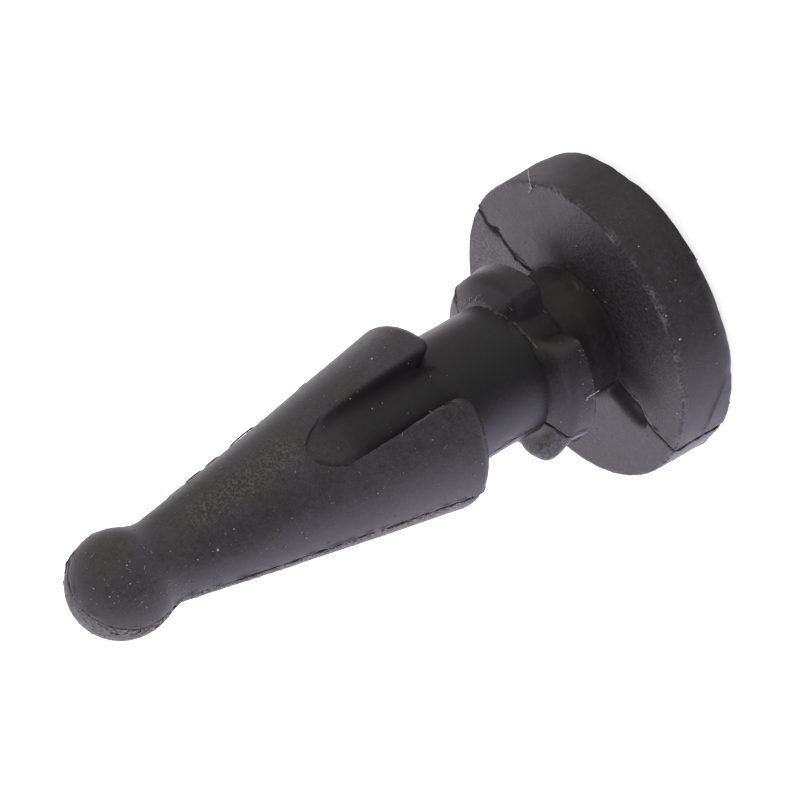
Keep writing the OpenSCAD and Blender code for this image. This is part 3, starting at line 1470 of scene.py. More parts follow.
@dataclass
class Skin:
    """Where the moulding is worn, rough, matt or cracked, and where shade and light are painted on it.

    Attributes:
        shape: the moulding's sizes.
        relief: its parting line, tears and edges.
        at: its points before they were moved.
    """

    shape: Moulding
    relief: Relief
    at: Places

    def __post_init__(self) -> None:
        """Gathers the measures that bound a place, and finds places that more than one mark needs."""
        at = self.at
        depth = (self.shape.cone_r(at.z) - at.radius) * (at.z > self.shape.barb_z)
        self.measures = {"x": at.x, "y": at.y, "z": at.z, "radius": at.radius, "turn": at.turn}
        self.measures |= {"seam": self.relief.away, "depth": depth}
        self.far = Span(high=0.0)
        self.near = Span(low=0.0)
        self.on_barb = Span(low=self.shape.barb_z)
        self.past_seam = Ramp(0.0, 0.1)
        self.outside_neck = Span(low=2.3)
        self.on_rim = self.place(1.0, z=Span(high=2.2), radius=Span(low=4.7))
        self.on_face = self.shape.on_face(at, 15 * HAIR)
        self.in_flute = self.place(1.0, depth=Ramp(0.02, 0.3), z=Span(high=13.8))
        strip_end = Ramp(0.8, 0.5).at(self.relief.away)
        self.strip = strip_end * self.place(1.0, seam=self.past_seam, x=self.far, z=self.on_barb)

    def place(self, amount: float, **curves: Union[Ramp, Bell, Span]) -> np.ndarray:
        """Bounds a place by one curve for each measure that matters there.

        Args:
            amount: the highest value.
            curves: the curves, under the names of the measures.

        Returns:
            The product of the curves, for each point.
        """
        found = np.full(len(self.at.x), amount)
        for measure, curve in curves.items():
            found = found * curve.at(self.measures[measure])
        return found

    def broken(self, grain: Grain, breaks: Ramp) -> np.ndarray:
        """Returns lumps that break a place up, from 0 to 1."""
        return breaks.at(grain.at(self.at.spots))

    def marks(self) -> dict[Mark, np.ndarray]:
        """Returns the numbers of every mark, one for each point."""
        # Every shade here is painted shade: a darker colour that stands in for shadow and for dark
        # reflections
        shades = self.flute_shades() + self.collar_shades() + self.head_shades()
        return {
            Mark.WEAR: np.maximum.reduce(self.wear()),
            Mark.SEAM: np.maximum.reduce(shades),
            Mark.ROUGH: self.rough(),
            Mark.MATT: self.matt(),
            Mark.CRACK: np.maximum(self.seam_crack(), 0.9 * self.relief.pit),
            # The paler patch on the neck is partly a scuff and partly painted light
            Mark.SCUFF: self.place(1.0, z=Bell(3.0, 0.9), turn=Bell(-74.0, 28.0), radius=Span(high=2.4)),
        }

    def wear(self) -> list[np.ndarray]:
        """Wears the edges, the strip beyond the far parting line, the collar's lump and the face, and
        paints a highlight on the head's front edge and a paler streak round the neck, partly worn and
        partly a painted highlight.

        Returns:
            One array of wear for each worn place.
        """
        edges = self.relief.edges() * (0.12 + 0.88 * self.broken(Grain(0.5, 12), Ramp(-0.3, 0.5)))
        # A paler streak round the neck near its root: partly worn, partly a painted highlight
        neck = self.place(1.0, z=Bell(2.45, 0.08), turn=Bell(-74.0, 9.0), radius=Span(high=2.5))
        # A pale patch on the head's front edge beside the far parting line: a painted highlight
        rim = self.place(1.0, z=Bell(2.15, 0.12), turn=Bell(-172.0, 5.0), radius=Span(low=4.8))
        on_collar = Span(self.shape.collar_z + 2 * HAIR, self.shape.shank_z)
        lump = self.place(0.5, x=self.far, z=on_collar, radius=Ramp(2.3, 2.5), seam=self.past_seam)
        lump *= Ramp(2.0, 1.4).at(self.relief.away)
        face = self.on_face * (0.12 + self.place(0.32, x=Ramp(-2.0, 1.5), seam=self.past_seam))
        return [edges, self.strip, neck, rim, lump, face]

    def rough(self) -> np.ndarray:
        """Roughens the wrinkled patch on the barb and the strip beyond the far parting line.

        Returns:
            How rough each point is.
        """
        at = self.at
        band = Course((13.8, 15.7, 17.5), (-78.0, -75.0, -81.0)).at(at.z)
        patch = Bell(0.0, 17.0).at(at.turn - band) * self.place(1.0, z=Ramp(13.2, 14.0))
        return np.maximum(patch * Ramp(18.2, 17.2).at(at.z), 0.3 * self.strip)

    def matt(self) -> np.ndarray:
        """Dulls the barb, the tail, the head and the collar, each by its own amount.

        Returns:
            How matt each point is.
        """
        at = self.at
        shape = self.shape
        barb_start = Ramp(shape.shank_r, shape.shank_r + 3 * HAIR)
        barb = self.place(1.0, radius=barb_start, z=Span(low=shape.barb_z - 0.5 * HAIR))
        barb = np.where(at.z > shape.flute_end_z, 1.0, barb)
        # Less matt towards the crisp wall: painted shade along the lower side of each flute floor
        dull = self.place(0.16, z=Ramp(9.5, 13.4)) * (1.0 - Ramp(0.35, -0.75).at(at.x))
        # Round the rim the matt skin is palest near -110 degrees and darkest towards +X: partly matt skin,
        # partly painted light and shade
        rim = Course((-150.0, -110.0, -60.0, -10.0, 20.0), (0.46, 0.54, 0.43, 0.2, 0.16)).at(at.turn)
        matt = 0.08 + barb * (0.58 - self.in_flute * (0.6 - dull))
        matt = np.where(at.z > 17.5, 0.66 + self.place(0.3, z=Ramp(17.5, 18.6)), matt)
        matt = np.where(at.z < 3.2, 0.22, matt)
        matt = np.where(self.on_rim > 0.0, rim, matt)
        face = self.place(1.0, z=Span(high=2.35), radius=Span(2.3, 4.9))
        collar = self.place(1.0, z=Span(shape.collar_z, shape.shank_z), radius=self.outside_neck)
        return np.where(collar > 0.0, 0.27, np.where(face > 0.0, 0.35, matt))

    def flute_shades(self) -> list[np.ndarray]:
        """Shades the foot of a flute's crisp wall, its soft wall and the curve where it ends.

        Returns:
            One array of shades for each.
        """
        at = self.at
        shape = self.shape
        foot = self.place(0.55, x=Ramp(0.35, -0.75)) * self.in_flute * Ramp(-0.1, -0.75).at(at.x)
        below_end = Span(high=shape.flute_end_z + 20 * HAIR)
        brow = self.place(0.85, x=Bell(0.5 * shape.flute_w, 0.36), depth=Ramp(0.0, 0.1), z=below_end)
        run_out = shape.cone_r(at.z) - np.hypot(shape.flute_floor, at.x)
        end = self.place(0.6, depth=Span(low=0.4 * HAIR), z=below_end) * Bell(0.008, 0.022).at(run_out)
        return [foot, brow, end * Ramp(12.0, 12.7).at(at.z)]

    def collar_shades(self) -> list[np.ndarray]:
        """Shades the notch's steep wall and the collar's near lobe.

        Returns:
            One array of shades for each.
        """
        at = self.at
        low = self.shape.collar_z
        high = self.shape.shank_z
        on_wall = Span(low + 2 * HAIR, high - 2 * HAIR)
        wall = self.place(0.5, x=Ramp(0.36, 0.55), radius=Ramp(2.95, 2.6), z=on_wall)
        wall *= Ramp(1.12, 0.85).at(at.x) * (np.abs(at.y) > 1.5)
        lobe = self.place(0.3, turn=Bell(-38.0, 24.0), x=self.near, radius=self.outside_neck)
        lobe *= Ramp(low + 0.3, low + 0.65).at(at.z) * (at.z < high)
        return [wall, lobe]

    def head_shades(self) -> list[np.ndarray]:
        """Shades the wedge, the neck's corner, the face behind the neck, the dim rim and its crease.

        Returns:
            One array of shades for each.
        """
        at = self.at
        paler = self.place(0.5, x=Bell(-3.2, 0.35), y=Bell(-0.1, 0.2))
        wedge = 0.95 * self.relief.wedge * (1.0 - paler * self.broken(Grain(0.1, 16), Ramp(-0.4, 0.4)))
        corner = 0.45 * Bell(0.0, 0.14).at(at.off(self.shape.neck_r, self.shape.head_t))
        seam_side = Ramp(0.1, -0.15)
        face = np.maximum.reduce(
            (
                self.place(0.66, turn=Bell(-156.0, 14.0), radius=Ramp(4.6, 2.7), seam=seam_side),
                self.place(0.62, turn=Bell(-172.0, 14.0), radius=Ramp(3.2, 2.4), seam=seam_side),
                self.place(0.42, turn=Bell(-50.0, 13.0), radius=Bell(2.6, 0.7)),
            )
        )
        dim = self.place(0.45, turn=Ramp(-55.0, -15.0)) * Ramp(110.0, 60.0).at(at.turn)
        line = Course((-172.0, -165.0, -159.0, -153.0, -146.0), (1.08, 1.0, 0.84, 0.58, 0.3))
        above = at.z - line.at(at.turn)
        crease = Bell(0.0, 0.045).at(above) + 0.5 * Bell(0.0, 0.2).at(above) * (above > 0.0)
        crease *= self.place(0.4, turn=Ramp(-147.0, -154.0)) * Ramp(-178.0, -170.0).at(at.turn)
        return [wedge, corner, self.on_face * face, self.on_rim * dim, self.on_rim * crease]

    def seam_crack(self) -> np.ndarray:
        """Cracks the parting line, wider on the head and fainter along the barb.

        Returns:
            How cracked each point is.
        """
        at = self.at
        low = self.shape.collar_z
        on_shank = Span(self.shape.shank_z, self.shape.barb_z)
        width = 0.055 + Grain(0.3, 5, 0.02).at(at.spots)
        width *= 1.0 + self.shape.on_head(at.z) * np.where(at.x > 0.0, 1.7, 0.5)
        width *= 1.0 + self.place(0.6, x=self.far, z=on_shank)
        line = Bell(0.0, 1.0).at(self.relief.away / width) * Ramp(0.1, 0.3).at(at.radius)
        collar = self.place(0.8, x=self.far, z=Ramp(low + 0.7, low + 0.4)) * (at.z > low - HAIR)
        line *= 1.0 - self.place(0.32, x=self.far, z=self.on_barb) - collar
        line *= 1.0 - self.place(0.4, x=self.near, z=Span(low=self.shape.shank_z))
        gone = 0.4 + 0.5 * self.broken(Grain(0.25, 17), Ramp(-0.2, 0.3))
        return line * (1.0 - gone * self.on_rim * (at.x < 0.0))


class Half(Enum):
    """The two sides on which the parting line runs along the rivet."""

    NEAR = "near"
    FAR = "far"


@dataclass
class Flash(Piece):
    """Thin ragged rubber that was squeezed out along the parting line.

    Attributes:
        sunk: how far its foot is sunk into the rivet.
        step: length of a step along the parting line.
        end_steps: steps over which a stretch rises at its ends.
        teeth: wide teeth, as a share of the stretch's height.
        teeth_base: share that the teeth are added to.
        gap_depth: how deep the gaps between the teeth go.
        sway: how the flash sways.
        aside: how far it stands beside the parting line.
        far_shift: shift that gives the far side teeth of its own.
        least_matt: how matt flash without wear is.
        runs: for each stretch its side, its first and last height, how far it stands out and
            how worn it is; the far stretches are greyer, which paints light on flash turned from the
            light.
    """

    moulding: Moulding
    name: str = "parting_flash"
    thickness: float = 0.03
    sunk: float = 0.07
    step: float = 0.06
    least_steps: int = 16
    end_steps: float = 3.0
    teeth: Grain = Grain(0.5, 21, 0.9)
    fine_teeth: Grain = Grain(0.14, 22, 0.6)
    teeth_base: float = 0.2
    gap_depth: float = 0.04
    sway: Grain = Grain(0.35, 23, 0.02)
    aside: float = 0.05
    far_shift: float = 7.0
    least_matt: float = 0.2
    # The far stretches are greyest: painted light on flash that faces away from the light
    runs: tuple[tuple[Half, float, float, float, float], ...] = (
        (Half.NEAR, 0.3, 2.1, 0.05, 0.3),
        (Half.FAR, 0.3, 2.2, 0.05, 1.0),
        (Half.NEAR, 4.93, 5.149, 0.24, 0.0),
        (Half.NEAR, 8.6, 17.6, 0.04, 0.5),
        (Half.FAR, 8.6, 17.9, 0.035, 1.0),
        (Half.NEAR, 18.7, 21.3, 0.03, 0.5),
        (Half.FAR, 18.7, 21.3, 0.03, 0.7),
    )

    def ribbon(self, half: Half, low: float, high: float, height: float, wear: float) -> bpy.types.Object:
        """Lays one ragged ribbon along the parting line.

        Args:
            half: the side of the rivet.
            low: height at which it starts.
            high: height at which it ends.
            height: how far its highest teeth stand out.
            wear: how grey it is, from 0 to 1.

        Returns:
            The ribbon, closed and with its thickness.
        """
        steps = max(self.least_steps, int((high - low) / self.step))
        run = self.moulding.seam_run(low, high, steps)
        bpy.ops.object.select_all(action="DESELECT")
        bpy.ops.mesh.primitive_grid_add(x_subdivisions=steps, y_subdivisions=1, size=1.0)
        thing = bpy.context.object
        start = self.spots(thing)
        outer = start[:, 1] > 0.0
        index = np.rint((start[:, 0] + 0.5) * steps).astype(int)
        radius, level, out_r, out_z = run[index].T
        place = np.column_stack((radius, np.full(len(start), self.far_shift * (half is Half.FAR)), level))
        teeth = self.teeth_base + self.teeth.at(place) + self.fine_teeth.at(place)
        teeth *= np.minimum(1.0, np.minimum(index, steps - index) / self.end_steps)
        rise = np.where(outer, np.clip(height * teeth, -self.gap_depth, height), -self.sunk)
        turn = math.radians(self.moulding.near_seam if half is Half.NEAR else self.moulding.far_seam)
        radius = radius + rise * out_r
        level = level + rise * out_z
        x = radius * math.cos(turn) - self.moulding.sag(level)
        y = radius * math.sin(turn) + (self.aside + self.sway.at(place) * outer)
        self.move_to(thing, np.column_stack((x, y, level)))
        matt = self.least_matt + (1.0 - self.least_matt) * wear
        self.write_mark(thing, Mark.MATT, np.full(len(start), matt))
        self.write_mark(thing, Mark.WEAR, np.full(len(start), wear))
        wall = thing.modifiers.new("wall", "SOLIDIFY")
        wall.thickness = self.thickness
        wall.offset = 0.0
        bpy.ops.object.modifier_apply(modifier=wall.name)
        return thing

    def build(self, rubber: bpy.types.Material) -> bpy.types.Object:
        """Models all stretches of flash as one piece.

        Args:
            rubber: the finish.

        Returns:
            The finished object.
        """
        ribbons = [self.ribbon(*run) for run in self.runs]
        thing = self.join(ribbons)
        self.hand_over(thing, rubber)
        return thing


@dataclass
class Threads(Piece):
    """Thin round threads, such as hairs of flash or of lint.

    Attributes:
        routes: the points that each thread passes.
        radius: half the thickness of a thread.
    """

    routes: list[np.ndarray]
    name: str = "threads"
    radius: float = 0.012
    smooth_angle: float = 80.0

    def build(self, finish: bpy.types.Material) -> bpy.types.Object:
        """Traces each thread from point to point and gives it its thickness.

        Args:
            finish: the threads' material.

        Returns:
            The finished object.
        """
        things = []
        for route in self.routes:
            things.append(self.start_at(route[0]))
            self.pull_through(route[1:], route[0])
            bpy.ops.object.mode_set(mode="OBJECT")
        thing = self.join(things)
        bpy.ops.object.convert(target="CURVE")
        thing.data.bevel_depth = self.radius
        thing.data.bevel_resolution = 1
        thing.data.use_fill_caps = True
        bpy.ops.object.convert(target="MESH")
        self.hand_over(thing, finish)
        return thing


@dataclass
class Dust(Piece):
    """Pale grains that cling to the rubber.

    Attributes:
        spots_at: where the grains lie.
        sizes: radius of each grain.
        seed: picks how the grains are turned.
    """

    spots_at: np.ndarray
    sizes: np.ndarray
    name: str = "dust"
    seed: int = 31

    def grain(self) -> bpy.types.Object:
        """Models one uneven grain of 20 faces.

        Returns:
            The grain, in object mode.
        """
        bpy.ops.object.select_all(action="DESELECT")
        bpy.ops.mesh.primitive_ico_sphere_add(subdivisions=1, radius=1.0, location=(0.0, 0.0, 0.0))
        thing = bpy.context.object
        bpy.ops.object.mode_set(mode="EDIT")
        bpy.ops.mesh.select_all(action="SELECT")
        bpy.ops.transform.vertex_random(offset=0.3, seed=self.seed)
        bpy.ops.transform.resize(value=(1.25, 0.9, 0.7))
        bpy.ops.object.mode_set(mode="OBJECT")
        return thing

    def build(self, finish: bpy.types.Material) -> bpy.types.Object:
        """Copies the grain to each of its places.

        Args:
            finish: the dust's material.

        Returns:
            The finished object.
        """
        first = self.grain()
        draw = np.random.default_rng(self.seed)
        copies = []
        for spot, size in zip(self.spots_at, self.sizes):
            copy = first.copy()
            copy.data = first.data.copy()
            copy.location = spot
            copy.rotation_euler = draw.uniform(0.0, 2.0 * math.pi, 3)
            copy.scale = (size, size, size)
            bpy.context.scene.collection.objects.link(copy)
            copies.append(copy)
        bpy.data.objects.remove(first)
        thing = self.join(copies)
        bpy.ops.object.transform_apply(location=True, rotation=True, scale=True)
        self.hand_over(thing, finish)
        return thing


@dataclass
class Dirt:
    """What clings to the finished moulding: hairs of flash, lint and dust.

    Attributes:
        carrier: the finished rivet, in metres.
        hairs_at: first and last height of each hair, and how far it stands off.
        front_line: radius, azimuth and height of the points of a line, as in the other lines
            and fibres.
        grain_r: radius of the smallest grain, and what is added for the largest.
        dust_over: how much dust lies at each height.
        rim_shake: spread of a clump over the height and over the azimuth.
        rim_ends: lowest and highest speck.
        rim_r: radius of the rim, over the height.
        speck_r: radius of the smallest speck, and what is added for the largest.
        lobe_r: least radius at which they lie, and what is added at most.
        lobe_foot: radius and height of the front of the lobe's rim.
        lobe_speck_r: radius of the smallest one, and what is added for the largest.
        crumbs: number, first and last height of the crumbs along the barb and on the ball.
        crumb_gap: nearest and furthest crumb from the far parting line.
        stuck_at: radius, azimuth, height and size of the grains that stand out.
        stuck_r: radius of such a grain, as a share of its size.
    """

    moulding: Moulding
    carrier: bpy.types.Object
    seed: int = 41
    dark: LintFinish = LintFinish("dark_flash", (0.055, 0.05, 0.05), (0.03, 0.028, 0.028), 0.0)
    dull: LintFinish = LintFinish("dull_flash", (0.17, 0.16, 0.14), (0.07, 0.066, 0.06))
    light: LintFinish = LintFinish("light_flash", (0.55, 0.51, 0.52), (0.25, 0.23, 0.235))
    grey: LintFinish = LintFinish("grey_dust", (0.5, 0.49, 0.48), (0.22, 0.215, 0.21))
    pale: LintFinish = LintFinish("pale_lint", (0.7, 0.69, 0.68), (0.5, 0.49, 0.49))
    hairs_at: tuple[Spot, ...] = (
        (11.1, 11.45, 0.03),
        (13.4, 14.5, 0.05),
        (14.95, 15.55, 0.035),
        (15.7, 16.4, 0.04),
    )
    hair_turn: float = -9.0
    hair_r: float = 0.026
    head_fibre: tuple[Spot, ...] = (
        (5.02, -27.5, 1.44),
        (5.03, -33.0, 1.8),
        (5.01, -39.0, 2.15),
        (4.93, -40.5, 2.27),
        (4.84, -41.5, 2.29),
        (4.72, -39.5, 2.28),
        (4.65, -38.0, 2.27),
    )
    collar_fibre: tuple[Spot, ...] = (
        (3.06, -148.0, 4.42),
        (3.07, -146.5, 4.36),
        (3.1, -145.8, 4.22),
        (3.14, -145.2, 4.1),
        (3.17, -144.6, 3.98),
    )
    fibre_r: float = 0.017
    front_line: tuple[Spot, ...] = (
        (2.17, -59.8, 5.17),
        (2.17, -67.9, 5.13),
        (2.18, -79.0, 5.07),
        (2.21, -90.0, 5.05),
        (2.24, -100.2, 5.04),
        (2.27, -106.0, 4.99),
    )
    back_line: tuple[Spot, ...] = ((2.19, -73.0, 3.99), (2.2, -79.0, 4.0), (2.2, -84.0, 4.01))
    front_copies: int = 3
    line_shake: float = 0.016
    line_r: float = 0.02
    flecks: int = 110
    fleck_l: tuple[float, float] = (0.04, 0.15)
    fleck_curl: float = 0.5
    fleck_r: float = 0.0075
    grains: int = 900
    grain_r: tuple[float, float] = (0.01, 0.021)
    dust_over: Course = Course(
        (0.1, 0.2, 2.2, 2.4, 8.0, 9.0, 18.0, 19.0), (0.0, 0.4, 0.4, 0.1, 0.1, 1.2, 1.4, 4.0)
    )
    low_side: Ramp = Ramp(0.2, -0.6)
    low_more: float = 1.6
    flute_dust: float = 0.25
    rim_count: int = 42
    rim_clumps: int = 9
    rim_z: tuple[float, float] = (4.08, 4.8)
    rim_turn: tuple[float, float] = (-174.0, -116.0)
    rim_shake: tuple[float, float] = (0.09, 2.4)
    rim_ends: tuple[float, float] = (4.06, 4.9)
    rim_r: Course = Course((4.05, 4.57, 4.75, 4.925), (3.05, 2.985, 2.93, 2.72))
    speck_r: tuple[float, float] = (0.008, 0.018)
    lobe_count: int = 60
    lobe_turn: tuple[float, float] = (-44.0, -4.0)
    lobe_r: tuple[float, float] = (2.28, 0.2)
    lobe_foot: tuple[float, float] = (2.714, 4.925)
    lobe_speck_r: tuple[float, float] = (0.008, 0.014)
    crumbs: tuple[tuple[int, float, float], ...] = ((240, 8.8, 18.3), (90, 18.9, 21.4))
    crumb_gap: tuple[float, float] = (0.03, 0.26)
    crumb_r: tuple[float, float] = (0.018, 0.042)
    stuck_at: tuple[tuple[float, float, float, float], ...] = (
        (2.36, -87.5, 2.27, 0.042),
        (5.0, -92.0, 1.71, 0.035),
        (5.0, -117.7, 2.1, 0.04),
        (5.0, -127.4, 1.93, 0.055),
        (4.78, -157.5, 2.26, 0.045),
        (4.84, -40.5, 2.28, 0.05),
        (2.57, 4.0, 2.27, 0.03),
        (2.45, 2.0, 2.28, 0.04),
        (1.55, -125.0, 17.4, 0.055),
        (2.84, -54.0, 9.88, 0.055),
        (2.74, -46.7, 10.48, 0.035),
        (2.24, -81.4, 10.87, 0.04),
        (2.7, 3.6, 2.27, 0.03),
        (2.38, 1.0, 2.27, 0.035),
        (2.24, -5.0, 2.3, 0.03),
        (1.68, -92.6, 20.33, 0.03),
        (1.63, -110.4, 20.53, 0.03),
        (1.06, -90.9, 21.34, 0.027),
        (1.31, -123.2, 21.1, 0.027),
        (0.49, -88.6, 21.64, 0.024),
    )
    stuck_r: float = 0.8

    def around(self, spots: Iterable[Sequence[float]]) -> np.ndarray:
        """Places points on the rivet, which leans a little.

        Args:
            spots: radius, azimuth and height of each point.

        Returns:
            Rows of x, y and z.
        """
        rows = []
        for radius, azimuth, height in spots:
            turn = math.radians(azimuth)
            x = radius * math.cos(turn) - float(self.moulding.sag(np.array(height)))
            rows.append((x, radius * math.sin(turn), height))
        return np.array(rows)

    def hairs(self) -> list[np.ndarray]:
        """Bends hairs of flash off the near parting line, held at both ends.

        Returns:
            The points of each hair.
        """
        routes = []
        for low, high, lift in self.hairs_at:
            share = np.linspace(0.0, 1.0, 9)
            height = low + (high - low) * share
            radius = self.moulding.cone_r(height) - 2 * HAIR + lift * np.sin(math.pi * share) ** 0.25
            routes.append(self.around((r, self.hair_turn, z) for r, z in zip(radius, height)))
        return routes

    def flash_lines(self) -> list[np.ndarray]:
        """Lays the ragged light lines along the front and the back of the collar's notch.

        Returns:
            The points of each line.
        """
        draw = np.random.default_rng(self.seed + 2)
        routes = []
        for line in (self.front_line,) * self.front_copies + (self.back_line,):
            share = np.linspace(0.0, len(line) - 1.0, 8 * len(line))
            columns = [np.interp(share, range(len(line)), column) for column in zip(*line)]
            points = self.around(zip(*columns))
            routes.append(points + draw.normal(0.0, self.line_shake, points.shape))
        return routes

    def short_flecks(self) -> list[np.ndarray]:
        """Scatters short curled flecks over the rubber.

        Returns:
            The points of each fleck.
        """
        draw = np.random.default_rng(self.seed)
        routes = []
        for spot, out in zip(*self.scatter(self.flecks, draw, self.dusty())):
            side = np.cross(out, draw.normal(size=3))
            side /= np.linalg.norm(side)
            curl = np.cross(out, side) * draw.uniform(-self.fleck_curl, self.fleck_curl)
            reach = np.linspace(0.0, draw.uniform(*self.fleck_l), 4)[:, None]
            routes.append(spot + 1.2 * HAIR * out + side * reach + curl * reach**2 / self.fleck_l[1])
        return routes

    def rim_specks(self) -> np.ndarray:
        """Strews specks over the collar's rim, on the side of the far parting line.

        Returns:
            The places of the specks.
        """
        draw = np.random.default_rng(self.seed + 5)
        count = self.rim_count
        clump = draw.integers(0, self.rim_clumps, count)
        height = draw.uniform(*self.rim_z, self.rim_clumps)[clump]
        height = np.clip(height + draw.normal(0.0, self.rim_shake[0], count), *self.rim_ends)
        azimuth = draw.uniform(*self.rim_turn, self.rim_clumps)[clump]
        azimuth = azimuth + draw.normal(0.0, self.rim_shake[1], count)
        return self.around(zip(self.rim_r.at(height), azimuth, height))

    def lobe_specks(self) -> np.ndarray:
        """Strews specks over the front of the collar, beside the near parting line.

        Returns:
            The places of the specks.
        """
        draw = np.random.default_rng(self.seed + 3)
        azimuth = draw.uniform(*self.lobe_turn, self.lobe_count)
        least, more = self.lobe_r
        radius = least + more * draw.random(self.lobe_count) ** 2
        foot_r, foot_z = self.lobe_foot
        height = np.interp(radius, (self.moulding.shank_r, foot_r), (self.moulding.shank_z, foot_z))
        return self.around(zip(radius, azimuth, height + HAIR))

    def seam_crumbs(self) -> np.ndarray:
        """Strews crumbs of flash beyond the far parting line, along the barb and the ball.

        Returns:
            The places of the crumbs.
        """
        draw = np.random.default_rng(self.seed + 4)
        height = np.concatenate([draw.uniform(low, high, count) for count, low, high in self.crumbs])
        rows = np.array(self.moulding.section())
        rows = rows[rows[:, 1] > self.moulding.edge_z]
        radius = np.interp(height, rows[:, 1], rows[:, 0])
        past = draw.uniform(*self.crumb_gap, len(height)) - self.moulding.stray_on_ball(height)
        azimuth = self.moulding.far_seam - np.degrees(past / radius)
        return self.around(zip(radius, azimuth, height))

    def surface(self) -> tuple[np.ndarray, np.ndarray, np.ndarray]:
        """Reads the faces of the finished moulding.

        Returns:
            Their middles in millimetres, their outward directions and their areas.
        """
        faces = self.carrier.data.polygons
        middle = np.empty(len(faces) * 3, np.float32)
        out = np.empty(len(faces) * 3, np.float32)
        area = np.empty(len(faces), np.float32)
        faces.foreach_get("center", middle)
        faces.foreach_get("normal", out)
        faces.foreach_get("area", area)
        middle, out = (flat.reshape(-1, 3).astype(float) for flat in (middle, out))
        # The order of a spun mesh's faces changes from run to run, so they are sorted by place
        order = np.lexsort(np.rint(middle / (0.1 * HAIR * MM)).T)
        return middle[order] / MM, out[order], area[order].astype(float)

    def dusty(self) -> np.ndarray:
        """Says how much dust a face gets: most on the ball and the low side, little in the flutes.

        Returns:
            One number for each face of the moulding.
        """
        middle, out, _ = self.surface()
        share = self.dust_over.at(middle[:, 2])
        share *= 1.0 + self.low_more * self.low_side.at(out[:, 0])
        inner = np.hypot(middle[:, 0], middle[:, 1]) < self.moulding.flute_floor + 20 * HAIR
        return share * np.where(inner & (middle[:, 2] < self.moulding.flute_end_z), self.flute_dust, 1.0)

    def scatter(
        self, count: int, draw: np.random.Generator, share: np.ndarray
    ) -> tuple[np.ndarray, np.ndarray]:
        """Picks places on the moulding.

        Args:
            count: how many.
            draw: gives the random numbers.
            share: for each face, how likely one unit of its area is picked.

        Returns:
            Places in millimetres and the outward direction at each.
        """
        middle, out, area = self.surface()
        chance = area * share
        picked = draw.choice(len(area), size=count, replace=False, p=chance / chance.sum())
        out = out[picked]
        slide = draw.uniform(-0.4, 0.4, (count, 3)) * np.sqrt(area[picked])[:, None] / MM
        slide -= (slide * out).sum(axis=1)[:, None] * out
        return middle[picked] + slide, out

    def build(self) -> None:
        """Makes the hairs, the lint, the crumbs and the dust, each with its finish."""
        dark, dull, light, grey, pale = (
            finish.make() for finish in (self.dark, self.dull, self.light, self.grey, self.pale)
        )
        fibres = [self.around(fibre) for fibre in (self.head_fibre, self.collar_fibre)]
        Threads(self.hairs(), "flash_hairs", self.hair_r).build(dark)
        Threads(fibres, "lint_fibres", self.fibre_r).build(pale)
        Threads(self.flash_lines(), "notch_flash", self.line_r).build(dull)
        Threads(self.short_flecks(), "lint_flecks", self.fleck_r).build(grey)
        draw = np.random.default_rng(self.seed + 1)
        spots, out = self.scatter(self.grains, draw, self.dusty())
        sizes = self.grain_r[0] + self.grain_r[1] * draw.random(self.grains) ** 3
        specks = self.rim_specks()
        speck_sizes = self.speck_r[0] + self.speck_r[1] * draw.random(len(specks)) ** 2
        spots = np.vstack((spots + 0.3 * sizes[:, None] * out, specks))
        Dust(spots, np.append(sizes, speck_sizes), "fine_dust").build(grey)
        crumbs = self.seam_crumbs()
        Dust(crumbs, draw.uniform(*self.crumb_r, len(crumbs)), "seam_crumbs").build(light)
        lobe = self.lobe_specks()
        stuck = self.around(grain[:3] for grain in self.stuck_at)
        stuck_sizes = self.stuck_r * np.array([grain[3] for grain in self.stuck_at])
        lobe_sizes = self.lobe_speck_r[0] + self.lobe_speck_r[1] * draw.random(len(lobe))
        sizes = np.concatenate((lobe_sizes, stuck_sizes))
        Dust(np.vstack((lobe, stuck)), sizes, "pale_grains").build(pale)


